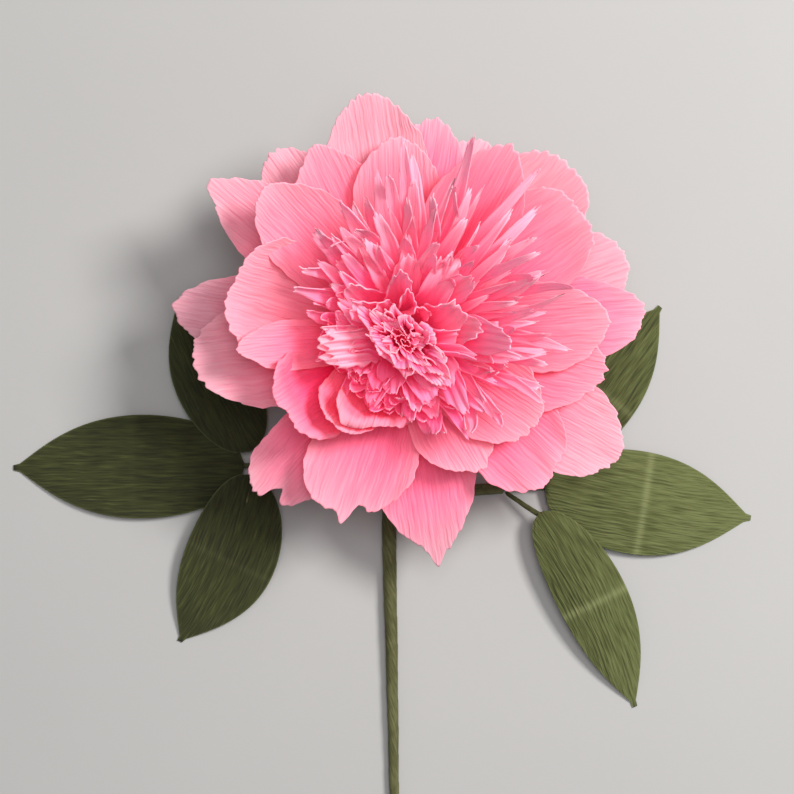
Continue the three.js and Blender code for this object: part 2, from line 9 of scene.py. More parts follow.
import bpy
import numpy as np
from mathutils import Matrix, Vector


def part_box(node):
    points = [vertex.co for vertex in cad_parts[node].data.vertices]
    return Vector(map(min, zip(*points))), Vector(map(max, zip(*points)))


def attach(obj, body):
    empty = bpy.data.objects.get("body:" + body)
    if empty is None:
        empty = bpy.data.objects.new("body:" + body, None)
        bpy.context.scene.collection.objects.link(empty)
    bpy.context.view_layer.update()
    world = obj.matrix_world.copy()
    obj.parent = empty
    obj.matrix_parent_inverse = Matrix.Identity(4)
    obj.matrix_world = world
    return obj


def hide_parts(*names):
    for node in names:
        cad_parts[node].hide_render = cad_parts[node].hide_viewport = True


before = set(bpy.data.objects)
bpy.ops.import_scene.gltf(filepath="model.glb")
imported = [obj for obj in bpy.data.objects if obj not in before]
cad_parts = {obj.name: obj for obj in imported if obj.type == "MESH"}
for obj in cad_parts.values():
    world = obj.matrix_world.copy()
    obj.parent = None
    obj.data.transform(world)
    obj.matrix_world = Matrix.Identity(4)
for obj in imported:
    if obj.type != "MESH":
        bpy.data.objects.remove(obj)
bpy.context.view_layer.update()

MM = 0.001
DECIMETRE = 100
GOLDEN = 0.6180339887

# Paper and clearances, as in the solids
PAPER = 0.35
SHEET_GAP = 0.3
FIT_GAP = 0.3
WIRE_RADIUS = 0.8

# Head
LAYER_PITCH = PAPER + SHEET_GAP
LAYER_DROP = 0.25
HEAD_NOD = 5
INNER_LEAN = 4
OUTER_LEAN = 95
FLARE = 20
SEAM = 6

# Core roll
CORE_RADIUS = 2.4
CORE_HEIGHT = 38
CORE_FLARE = 2.2
CORE_FLARE_FROM = 20
CORE_ROUNDING = 1.2
CORE_TURNS = 2.5
CORE_PAPER = 0.24
CORE_RUN = 50  # length over which its random lines are drawn
CORE_TEAR = 1.2
CORE_END_WAVE = 1.5
CORE_EYE = 0.3  # innermost turn at the open top
CORE_RUFFLE = (0.25, 0.7)  # innermost and outermost turn
CORE_PALE_EDGE = 0.9

# Centre frills
FRILL_COUNT = 2
FRILL_FIRST_LAYER = 1.1
FRILL_STEP = 1.8
FRILL_LENGTH = 20
FRILL_LENGTH_STEP = 3
FRILL_WIND = 1.0  # layers between the first and the last turn of a frill
FRILL_TURNS = 2
FRILL_WAVES = 8
FRILL_WAVES_STEP = 4
FRILL_RUN = 120  # length over which its random lines are drawn
FRILL_TEAR = 2
FRILL_END_WAVE = 1.6
FRILL_END_NICKS = 0.5
FRILL_RUFFLE_FROM = 0.35
FRILL_SWING = 1.5
FRILL_CLOSING = (3.2, 1.4)  # how far its first and its last turn close in over the core
FRILL_CLOSING_STEP = 0.4
FRILL_FLOP = 85  # outward turn of the torn edge
FRILL_FLOP_SHARE = 0.55
FRILL_FLOP_LENGTH = 6.5
FRILL_PALE_EDGE = 1.5
FRILL_GATHER = 1.3  # paper for each length of gathered strip
PRESSED_SIDE = -40  # azimuth along which the open centre is pressed into rows
PRESSED_LONGER = 0.35
PRESSED_THINNER = 0.3

# Fringe strips
FRINGE_COUNT = 9
FRINGE_FIRST_LAYER = FRILL_FIRST_LAYER + FRILL_STEP * FRILL_COUNT
FRINGE_STEP = 1.25
TAB_PITCH = 9.2
TAB_SWELL = 1.12
TAB_WIDEST = 0.6
TAB_LONG_SIDE = 50
TAB_LONG_INNER = 26
TAB_LONG_OUTER = 62
TAB_SHORT_INNER = 18
TAB_SHORT_OUTER = 15
TAB_SCATTER = 0.14
FLAME_SIDE = 95  # azimuth of the fullest tabs
FLAME_SPREAD = 28
FIRST_SLIT_STRIP = 4  # from this strip outward each tab is slit into narrower ones
SLIT_PITCH = 3.3
SLIT_WIDE = 1.6  # share of the mean width on the short side
SLIT_NARROW = 0.7  # and on the long side
SLIT_ROUNDS = 3  # times that widths and places are settled together
TIP_FROM = 0.85  # share of a tab where its torn tip curls
CRIMP_PITCH = 3.3

# Wide petals, calyx and receptacle
PETAL_FIRST_LAYER = FRINGE_FIRST_LAYER + FRINGE_STEP * FRINGE_COUNT
PETAL_STEP = 1.2
PETAL_RANKS = 10
PETAL_BASE = 6
PETAL_WIDEST = 0.72
PETAL_ROUNDING = 0.3
PETAL_FULLNESS = 0.96
CALYX_LAYER = PETAL_FIRST_LAYER + PETAL_STEP * PETAL_RANKS
SEPALS = 5
SEPAL_LENGTH = 20
SEPAL_HALF_WIDTH = 9
SEPAL_TIP = 0.4
SEPAL_ROUNDING = 0.1
RECEPTACLE_DEPTH = 9
RECEPTACLE_NECK = 3.9
RECEPTACLE_RIM = 2.2
RECEPTACLE_CELLS = (72, 26)
RECEPTACLE_TAPE_PITCH = 4
RECEPTACLE_TAPE_DEPTH = 0.3

# Stem and leaf branches
STEM_TOP_RADIUS = 3.5
STEM_END_RADIUS = 1.6
STEM_COLLAR = 2
STEM_BEND = 12
STEM_LENGTH = 240
STEM_STRAIGHT = 30
STEM_END_X = -3.4
STEM_WANDER = [[0.14, -4.2], [0.32, -5.6], [0.55, -4.8], [0.82, -3.8], [1, STEM_END_X]]
BEND_STEPS = 5
STEM_CELLS = (36, 300)
STEM_WOBBLE = 0.06
TAPE_PITCH = 11
TAPE_DEPTH = 0.16
LAP_STEP = 0.12  # share of a turn over which the tape steps up
LAP_SHARPNESS = 14  # how soon the dark line at a lap fades
ROD_STEP = 0.9
ROD_LEAST_RINGS = 8
ROD_TAPE = 0.7  # share of the tape's depth that shows on thin rods
ROD_END = 0.8  # length over which an end is rounded
ROD_LEAST = 0.12  # square of the share of its radius that an end keeps
ROD_LOWEST = 0.02  # above the surface that the flower lies on
PETIOLE_RADIUS = 2.2
PETIOLE_SIDES = 28
STALK_RADIUS = 1.1
STALK_TIP_RADIUS = 0.7
STALK_BUNCH = 1.7  # between the stalks where they are bound to the petiole
STALK_FROM = 0.05
STALK_TO = 0.68
STALK_STEPS = 3
STALK_SIDES = 16
STALK_GAP = 0.1  # between bound stalks
LEAF_END = 1
LEAF_SKEW = 0.85
LEAF_FULLNESS = 0.6
LEAF_TAPER = 0.5
LEAF_DROOP = 2.2
LEAF_DRIFT = 0.3  # how far the ridges wander beside a leaf's edges
LEAF_DRIFT_LENGTH = 4
LEAF_WAVE = 0.5
LEAF_WAVE_LENGTH = 24
LEAF_FLAT_EDGE = 6  # strip along the edge where the wave dies out
LEAF_REST = PAPER / 2 + 0.2  # lowest that a leaf's ridges lie
# Painted shade and painted light: leaves of the left branch are darkened as if in the head's shade, those of
# the right branch lightened as if lit
LEAF_LIGHT_AND_SHADE = (0.0, 0.06, 0.12, 1.05, 1.2, 0.6)  # 0 is dark and 1 is light, left branch first

# Cells across and along each kind of sheet
PETAL_CELLS = (104, 28)
TAB_CELLS = (8, 20)
BROAD_TAB_CELLS = (26, 22)
BAND_ROWS = 6
FRILL_CELLS = (640, 22)
CORE_CELLS = (260, 24)
LEAF_CELLS = (112, 36)
PETAL_CROWDING = 1.35  # how much closer together the rows lie towards the tip, as a power
TAB_CROWDING = 1.3
FRILL_CROWDING = 1.5

# Crepe: fine ridges along the paper, in millimetres
CREPE_PITCHES = (1.1, 1.6, 2.7)
CREPE_DEPTHS = (0.042, 0.048, 0.045)
LEAF_PITCHES = (1.45, 2.0, 3.1)
LEAF_DEPTHS = (0.075, 0.06, 0.05)
CREPE_DRIFT = 26  # length over which a ridge wanders
CREPE_WANDER = 1.1  # how far it wanders, in radians of its wave
CREPE_SLANT = 7  # ridges after which the wander starts anew
FRAY = 0.7  # how far torn fibres stand back from the cut
RIM_WIDTH = 0.4  # paler strip along a cut edge
FADE = 0.7  # fading of a wide petal towards its edge
FADE_WIDTH = 4
EDGE_RELIEF = 0.3  # ridges fade over the last millimetre to a cut edge, less if this is higher
LEAF_EDGE_RELIEF = 0.2

# Edges of the wide petals: swing in mm at the end and as a share of the width along the sides
PETAL_SKEW = 0.04  # how much longer one side may be
END_WAVE = 1.1
END_WAVE_LENGTH = 1.1  # in half-widths
END_NICKS = 0.7
END_NICK_LENGTH = 4
END_TEAR = 1.5
SIDE_NICKS = 0.022
SIDE_NICK_LENGTH = 6
SIDE_WAVE = 0.02
SIDE_WAVE_LENGTH = 23
PETAL_WAVE = 0.15  # in layers
PETAL_WAVE_LENGTH = 17
RAISED_FROM = 0.65  # place across where a raised edge starts
CURL_ROLL = 30  # degrees of roll for each layer of curl
ROLL_FROM = 0.7
LIP_FROM = 0.86  # share of a petal where its lip turns back
LIP_WAVE_LENGTH = 14
WORN_LENGTH = 4  # of the paler and plainer stretches of a cut edge

# Form of the tabs, in degrees and in shares of their length and width. Pairs are least and most, or the
# short side and the long side of the head
SLIT_SHORTEST = (0.62, 0.92)  # away from the flame side and on it
BROAD_SHORTEST = 0.8
TAB_LONGEST = 1.04
TAB_STRETCH = (0.95, 1.5)
SLIT_WIDER_LONG = 1.3
SLIT_WIDER_FLAME = 1.35
BLUNT_FADE = 2.2  # how soon blunt tips give way to sharp ones outward
SHARP_TIP = (0.15, 0.5)
BLUNT_TIP = (0.65, 0.95)
TIP_ROUNDING = (0.04, 0.2)  # sharp and blunt
TAB_LEAN = (2.5, 0)  # outward, in layers
TAB_CURL = 0.5
LEAN_SPREAD = (0.65, 1.3)  # innermost and outermost strip
MOST_LEAN_IN = -4
SLIT_ROLL = (14, -4)
BROAD_ROLL = (-20, 10)
ROLL_SPREAD = 28
MOST_ROLL_BACK = -45
MOST_ROLL = (30, 12)
TAB_ROLL_FROM = 0.45  # share of the length
TAB_FOLD = (28, 10)
FOLD_SPREAD = 22
FOLD_TO = 0.6
FOLD_ROUNDING = 0.5  # square of the fold's radius
TWIST_SPREAD = 30
MOST_TWIST = 45
TWIST_FROM = 0.3
SWAY_SPREAD = 0.1
TIP_CURL = 8
TIP_CURL_SPREAD = 40
LEAST_TIP_CURL = -5
BROAD_CRIMP = 0.4
CRIMP_RISE = (0.15, 0.65)  # shares of the length where it starts and is full
BROAD_PALE = 0.3
RIPE_OUTWARD = (0.66, 1)  # innermost and outermost strip
# Short side and long side: the deeper colour of the short side is painted shade, where the head shades the
# fringe
RIPE_SHADED_SIDE = (0.5, 1.06)
# A paler colour on the flame side is painted light, for tabs that turn their faces away from the lamp
FLAME_PAINTED_LIGHT = 0.16
TAB_TAPER = 1.5
TAB_TEAR = 1.6
TOOTH_SPAN = 3.5  # half-width over which the teeth of a tip are drawn
TOOTH_LENGTH = 2.4
TOOTH_SHARE = 0.06
UNEVEN_SPAN = 9  # length over which a tab's uneven sides are drawn
UNEVEN_LENGTH = 2.6
UNEVEN_SHARE = 0.1
TAB_RELIEF = 0.8
TAB_SPACING = 9  # between tabs on the paper's own pattern
UNCUT = 9  # stands for a cut edge far away
SIDE_RIM = 0.3
BLEACHED = (0.025, 0.09)  # share of a tab that is bleached at its tip

# A few crimped inner tabs round one azimuth, in degrees
GATHERED_SIDE = 192
GATHERED_SPREAD = 30
GATHERED_STRIPS = 2
GATHERED_LENGTH = 22
GATHERED_WIDER = 1.3
GATHERED_SHAPE = {
    "tip": 0.9, "lean": 5, "roll": -5, "fold": 0, "twist": 0, "curl": 0, "crimp": 1.5, "pale": 0.6,
    "ripe": 0.8,
}

# Wide petals: name, rank outward, azimuth in degrees, reach from the axis, half-width, sharpness of the
# tip, cup of the edges and curl of the tip in layers
PETALS = [
    ("back_petal_01", 8, 6, 91, 17, 0.06, 0.4, 0),
    ("back_petal_02", 9, 20, 88, 16, -0.04, 0.3, 0.2),
    ("back_petal_03", 7, 46, 89, 20, -0.03, 0.4, 0.3),
    ("back_petal_04", 9, 68, 79, 16, 0.02, 0.3, 0),
    ("back_petal_05", 8, 82, 82, 16, 0.05, 0.4, 0),
    ("back_petal_06", 7, 98.5, 91, 18.5, 0, 0.5, 0.3),
    ("back_petal_07", 9, 125, 85, 15, 0.02, 0.3, 0),
    ("back_petal_08", 8, 140, 91, 16, 0.1, 0.4, 0.2),
    ("back_petal_09", 9, 172, 89, 15.5, 0.1, 0.4, -0.4),
    ("back_petal_10", 7, 187, 80, 20, 0.05, 0.5, 0),
    ("back_petal_11", 8, 229, 80, 15, -0.06, 0.4, -0.3),
    ("back_petal_12", 9, 279, 85, 20, 0.14, 0.4, -0.4),
    ("back_petal_13", 7, 332, 91, 18, -0.02, 0.4, 0),
    ("front_petal_01", 4, 5, 75, 17, 0.03, 0.5, 0),
    ("front_petal_02", 6, 36, 81, 20, -0.03, 0.5, 0.2),
    ("front_petal_03", 3, 61, 80, 18, 0.1, 0.5, 0),
    ("front_petal_04", 5, 92, 74, 17, 0.04, 0.5, 0),
    ("front_petal_05", 6, 115, 78, 16, 0.04, 0.6, 0.2),
    ("front_petal_06", 4, 132, 77, 17, 0.06, 0.6, 0.4),
    ("front_petal_07", 5, 161, 69, 22, -0.1, 0.7, 0.6),
    ("front_petal_08", 2, 183, 62, 9.5, 0.08, 0.7, 0.2),
    ("front_petal_09", 3, 211, 57, 18, -0.08, 0.7, 0.6),
    ("front_petal_10", 1, 230, 47, 13, 0, 0.7, 0.6),
    ("front_petal_11", 5, 251, 68, 21, -0.04, 0.5, -0.2),
    ("front_petal_12", 0, 249, 40, 16, -0.1, 0.6, 0.6),
    ("front_petal_13", 4, 300, 56, 17, 0.05, 0.5, 0),
    ("front_petal_14", 6, 319, 75, 20, -0.02, 0.5, 0),
    ("front_petal_15", 3, 327, 58, 18, 0.02, 0.5, 0),
    ("front_petal_16", 5, 350, 75, 18, 0.03, 0.5, 0),
]

# Petals shaped one by one: roll of the tip in degrees, forward if positive, the share of the length where the
# roll starts, the turn back of its lip in degrees, the swing of a wavy edge in layers, how much longer one
# side is, how far that side's edge stands up in layers, tails and notches in the tip as (place across,
# length in mm, notch if negative, half-width), and the tone, paler if higher
# The lower tones of back_petal_11 and back_petal_12 are painted shade, where the head shades them
SHAPING = {
    "back_petal_01": {"tone": -1.2},
    "back_petal_03": {"tone": 2.4},
    "back_petal_05": {"tone": -1.2},
    "back_petal_08": {"teeth": [(0.2, 3, 3)]},
    "back_petal_11": {"teeth": [(0.15, -7, 2.6)], "skew": -0.04, "tone": -1},
    "back_petal_12": {"teeth": [(-0.05, 5, 2.4)], "tone": -0.8},
    "front_petal_07": {"roll": 25, "roll_from": 0.6, "tone": 2.2},
    "front_petal_09": {"roll": 40, "roll_from": 0.55, "lip": 45, "wave": 0.3, "tone": -1.8},
    "front_petal_10": {"roll": 40, "roll_from": 0.55, "lip": 30, "tone": -1},
    "front_petal_11": {"wave": 0.25, "skew": -0.06, "edge": 1.2, "teeth": [(0.0, 5, 1.8), (0.25, -4, 2.6)]},
    "front_petal_12": {"roll": 40, "roll_from": 0.5, "lip": 140, "wave": 0.8, "skew": -0.24, "tone": -1},
    "front_petal_14": {"wave": 0.25, "skew": -0.05, "tone": -0.5},
}

# Leaf branches seen from above, from the head's centre: name, where the petiole leaves the stem, its end, and
# for each leaf its name, base, tip, half-width, bow to one side, height of its base and arch of its crown
BRANCHES = [
    ("left", -58, (-50, -50), [
        ("upper", (-60, -44), (-90, 15), 16, 0.5, 5, 4),
        ("middle", (-63, -50), (-155, -51), 20.5, 0, 4, 3),
        ("lower", (-58, -54), (-89, -120), 18, 4.5, 8.5, 4),
    ]),
    ("right", -62, (40, -59), [
        ("lower", (54, -68), (92, -146), 13.8, 3.5, 8.5, 4),
        ("middle", (56, -58), (138, -71), 20.5, -1, 4, 3),
        ("upper", (53, -50), (102, 13), 16.5, -1, 5, 4),
    ]),
]

# Colours, as linear red, green and blue
HOT = (0.96, 0.02, 0.14)
ROSE = (0.97, 0.11, 0.26)
PINK = (0.97, 0.215, 0.36)
BLUSH = (0.95, 0.39, 0.49)
PALE = (0.78, 0.375, 0.455)
CERISE = (0.9, 0.025, 0.18)
CANDY = (0.96, 0.22, 0.47)
SORBET = (0.96, 0.4, 0.59)
POWDER = (0.96, 0.54, 0.66)
SHELL = (0.98, 0.66, 0.72)
WHITE = (1.0, 0.76, 0.8)
GLOW = (1.0, 0.2, 0.44)
BRIGHT_GLOW = (1.0, 0.46, 0.66)
# Painted glow: emission colours that brighten the pink papers, most of all in their shade and recesses
NO_PAINTED_GLOW = (0.0, 0.0, 0.0)
FRONT_PAINTED_GLOW = (0.015, 0.001, 0.005)
FRINGE_PAINTED_GLOW = (0.065, 0.009, 0.026)
CENTRE_PAINTED_GLOW = (0.07, 0.004, 0.017)
STREAKS = [(0.36, (0.93, 0.8, 0.84)), (0.62, (1.0, 1.0, 1.0))]
LEAF_GREENS = [
    (0.15, (0.017, 0.018, 0.005)), (0.42, (0.036, 0.04, 0.01)), (0.6, (0.068, 0.078, 0.022)),
    (0.82, (0.115, 0.13, 0.045)),
]
LEAF_CREASE = (0.25, 0.27, 0.12)
LEAF_RIM = (0.16, 0.18, 0.065)
LEAF_GLOW = (0.2, 0.28, 0.05)
TAPE_GREENS = [(0.3, (0.034, 0.034, 0.012)), (0.5, (0.066, 0.066, 0.024)), (0.72, (0.12, 0.12, 0.052))]
TAPE_LAP = (0.045, 0.048, 0.016)
TAPE_GLOW = (0.2, 0.24, 0.06)
WIRE_GREYS = [(0.3, (0.3, 0.31, 0.32)), (0.7, (0.5, 0.51, 0.52))]
FLOOR_DARK = (0.33, 0.326, 0.32)
FLOOR_LIGHT = (0.355, 0.35, 0.342)

# Marks of crepe in the finishes: how many come to a millimetre across and along the paper, a number that sets
# each kind apart, and how far the wander moves the others sideways
PETAL_MARKS = {
    "wander": (0.12, 0.09, 3), "ridges": (1.4, 0.07, 0), "threads": (3.4, 0.2, 5), "cloud": (0.06, 0.05, 9),
    "swing": 2.6,
}
LEAF_MARKS = {
    "wander": (0.1, 0.07, 5), "ridges": (1.3, 0.08, 0), "threads": (2.4, 0.16, 3), "cloud": (0.05, 0.05, 7),
    "swing": 2.0,
}
CREASE_AT = 0.48  # share of a leaf where the roll of paper was creased
CREASE_SHARPNESS = 55

# Stage. Lights: name, place from the head in metres, size in metres, power in watts and colour
FLOOR_SIZE = 6
LIGHTS = [
    ("key", (0.83, 0.44, 1.04), 0.4, 27, (1.0, 0.98, 0.96)),
    ("fill", (0.1, 0.15, 1.4), 0.7, 10.5, (0.99, 0.99, 1.0)),
]
ROOM_LIGHT = 0.3
MOST_BOUNCES = 24
SOFT_BOUNCES = 16

# Camera, in millimetres
CAMERA_HEIGHT = 700
CAMERA_ASIDE = (-2.6, -22.9)  # from the head's centre
VIEW_WIDTH = 297.75  # seen across the picture at VIEW_DISTANCE
VIEW_DISTANCE = 660
SENSOR = 36

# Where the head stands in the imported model
core_low, core_high = (np.array(corner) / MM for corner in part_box("core_roll"))
wire_low = np.array(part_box("stem_wire")[0]) / MM
nod = math.radians(HEAD_NOD)
HEAD = np.array([
    (core_low[0] + core_high[0]) / 2,
    wire_low[1] + STEM_LENGTH,
    core_high[2] - CORE_HEIGHT * math.cos(nod) - (CORE_RADIUS + CORE_FLARE - CORE_ROUNDING) * math.sin(nod),
])
PLAN = np.array([HEAD[0], HEAD[1], 0.0])


def from_head(points):
    """Points about the head's axis, leaned by the nod about X and moved to the head, in metres."""
    x, y, z = np.moveaxis(points, -1, 0)
    leaned = np.stack([x, y * math.cos(nod) - z * math.sin(nod), y * math.sin(nod) + z * math.cos(nod)], -1)
    return (leaned + HEAD) * MM


def from_plan(points):
    """Points measured from under the head's centre, on the surface that the flower lies on, in metres."""
    return (points + PLAN) * MM


def lerp(a, b, share):
    """The value that lies a share of the way from a to b."""
    return a + (b - a) * share


def smooth(x):
    """A step from 0 to 1 with level ends."""
    x = np.clip(x, 0, 1)
    return x * x * (3 - 2 * x)


def rising(x, start, end=1.0):
    """The same step, from 0 at the start to 1 at the end."""
    return smooth((x - start) / (end - start))


def bell(x, width):
    """A bell curve: 1 at zero, and 1/e a width away."""
    return np.exp(-((x / width) ** 2))


def rows_to_tip(rows, crowding):
    """Shares of a length from 0 to 1, set closer together towards the tip by a power."""
    return 1 - (1 - np.linspace(0, 1, rows + 1)) ** crowding


def around(sides):
    """The angles of the points of a ring, as one row."""
    return np.linspace(0, 2 * np.pi, sides, endpoint=False)[None, :]


def turn_from(azimuth, angles):
    """How far angles lie from an azimuth in degrees, the short way round, in radians."""
    return np.angle(np.exp(1j * (angles - np.radians(azimuth))))


def scatter(index):
    """An even scatter between -1 and 1, by the golden ratio."""
    return 2 * np.mod(index * GOLDEN, 1) - 1


def ripple(x, seed, wavelength):
    """A smooth random line between -1 and 1: three sines of nearby wavelengths, with random starts.
    Each line has a seed of its own."""
    random = np.random.default_rng(seed)
    stretches = random.uniform(0.7, 1.5, 3)
    starts = random.random(3)
    return sum(np.sin(2 * np.pi * (x / (wavelength * s) + t)) for s, t in zip(stretches, starts)) / 3


def crepe(across, along, seed, pitches=CREPE_PITCHES, depths=CREPE_DEPTHS):
    """Height of the crepe's ridges: sines across the paper of a few pitches, wandering along its length."""
    random = np.random.default_rng(seed)
    height = 0
    for pitch, depth in zip(pitches, depths):
        start, phase = random.random(2)
        slant = along / CREPE_DRIFT + phase + across / (CREPE_SLANT * pitch)
        wander = CREPE_WANDER * np.sin(2 * np.pi * slant)
        height = height + depth * np.sin(2 * np.pi * (across / pitch + start) + wander)
    return height


def frayed(count, seed):
    """How far a torn edge stands back at each point along it: squared noise, softened once."""
    raw = np.random.default_rng(seed).random(count + 2) ** 2
    return FRAY * (0.25 * raw[:-2] + 0.5 * raw[1:-1] + 0.25 * raw[2:])


# Meshes

def grid_cells(rows, columns):
    """Quads of a grid of points, row by row."""
    first = np.arange(rows * (columns + 1)).reshape(rows, columns + 1)[:, :-1].ravel()
    return np.stack([first, first + 1, first + columns + 2, first + columns + 1], 1)


def point_normals(points, cells):
    """Unit normals at the points: the cells' normals added up at their corners."""
    facing = np.cross(points[cells[:, 2]] - points[cells[:, 0]], points[cells[:, 3]] - points[cells[:, 1]])
    normals = np.zeros_like(points)
    for corner in range(4):
        np.add.at(normals, cells[:, corner], facing)
    return normals / np.maximum(np.linalg.norm(normals, axis=1, keepdims=True), 1e-12)


def make_piece(name, points, faces, material, smooth_faces, uv, attributes):
    """A mesh object from point, face, texture and attribute arrays, standing for the solid of its name.
    All its faces are smooth where no flags say which ones are."""
    mesh = bpy.data.meshes.new(name)
    corners = np.concatenate([f.ravel() for f in faces])
    sizes = np.concatenate([np.full(len(f), f.shape[1]) for f in faces])
    mesh.vertices.add(len(points))
    mesh.vertices.foreach_set("co", points.astype(np.float32).ravel())
    mesh.loops.add(len(corners))
    mesh.loops.foreach_set("vertex_index", corners.astype(np.int32))
    mesh.polygons.add(len(sizes))
    mesh.polygons.foreach_set("loop_start", (np.cumsum(sizes) - sizes).astype(np.int32))
    flags = np.ones(len(sizes), bool) if smooth_faces is None else smooth_faces
    mesh.polygons.foreach_set("use_smooth", flags)
    layer = mesh.uv_layers.new(name="paper")
    layer.data.foreach_set("uv", uv[corners].astype(np.float32).ravel())
    for key, values in attributes.items():
        attribute = mesh.attributes.new(key, "FLOAT", "POINT")
        attribute.data.foreach_set("value", values.astype(np.float32))
    mesh.update(calc_edges=True)
    mesh.materials.append(material)
    piece = bpy.data.objects.new(name + "_paper", mesh)
    bpy.context.scene.collection.objects.link(piece)
    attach(piece, "root")
    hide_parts(name)


def sheet_piece(name, sheet, placing, material):
    """A closed paper sheet: its middle surface, raised by its relief, moved half a thickness both ways
    along the normals, drawn on both sides, with a rim along every edge that only one cell has."""
    points, cells = sheet["points"], sheet["cells"]
    count = len(points)
    normals = point_normals(points, cells)
    middle = points + normals * sheet["relief"][:, None]
    half = normals * (sheet["thickness"] / 2)
    edges = np.stack([cells, np.roll(cells, -1, 1)], 2).reshape(-1, 2)
    alone = ~np.isin(edges[:, 0] * count + edges[:, 1], edges[:, 1] * count + edges[:, 0])
    a, b = edges[alone].T
    rim = np.stack([b, a, a + count, b + count], 1)
    faces = np.concatenate([cells, cells[:, ::-1] + count, rim])
    flags = np.arange(len(faces)) < 2 * len(cells)
    attributes = {key: np.tile(sheet[key], 2) for key in ("reach", "rim", "tone")}
    solid = placing(np.concatenate([middle + half, middle - half]))
    make_piece(name, solid, [faces], material, flags, np.tile(sheet["uv"], (2, 1)), attributes)


def as_sheet(points, cells, across, along, reach, rim, tone, relief, thickness=PAPER):
    """A sheet's arrays as flat lists of points. Texture coordinates are the place on the paper, in
    decimetres."""
    shape = points.shape[:-1]
    flat = lambda values: np.broadcast_to(values, shape).ravel()
    uv = np.stack([flat(across), flat(along)], 1) / DECIMETRE
    return {
        "points": points.reshape(-1, 3), "cells": cells, "uv": uv, "reach": flat(reach), "rim": flat(rim),
        "tone": flat(tone), "relief": flat(relief), "thickness": thickness,
    }


# Head sheets

def lean_of(layer):
    """A layer's lean from upright: evenly from the innermost layer to the calyx."""
    return np.radians(lerp(INNER_LEAN, OUTER_LEAN, layer / CALYX_LAYER))


def section(layer, along):
    """A layer's section: an arc from upright to the layer's lean, then a straight run.
    Gives the distance from the axis, the height and the heading from upright."""
    lean = lean_of(layer)
    arc = FLARE / lean
    bend = lean * np.minimum(along, FLARE) / FLARE
    run = np.maximum(along - FLARE, 0)
    radius = CORE_RADIUS + LAYER_PITCH * (layer + 1) + arc * (1 - np.cos(bend)) + run * np.sin(lean)
    height = -LAYER_DROP * layer + arc * np.sin(bend) + run * np.cos(lean)
    return radius, height, bend


def length_for(layer, reach):
    """The length of paper that a layer needs to reach a distance from the axis."""
    return FLARE + (reach - section(layer, FLARE)[0]) / np.sin(lean_of(layer))


def rolled(heading, turn, along, axis):
    """What a roll adds to distance and height: the heading with and without the turn, summed along the
    paper."""
    step = np.diff(along, axis=axis)
    middle = lambda values: 0.5 * (np.take(values, range(1, values.shape[axis]), axis)
                                   + np.take(values, range(values.shape[axis] - 1), axis))
    bare, turned = middle(heading), middle(heading + turn)
    zero = np.zeros_like(np.take(along, [0], axis))
    out = np.concatenate([zero, np.cumsum((np.sin(turned) - np.sin(bare)) * step, axis)], axis)
    up = np.concatenate([zero, np.cumsum((np.cos(turned) - np.cos(bare)) * step, axis)], axis)
    return out, up


def round_axis(radius, height, angle):
    """Points at a distance from the axis, a height and an angle round it."""
    return np.stack([radius * np.cos(angle), radius * np.sin(angle), height], -1)


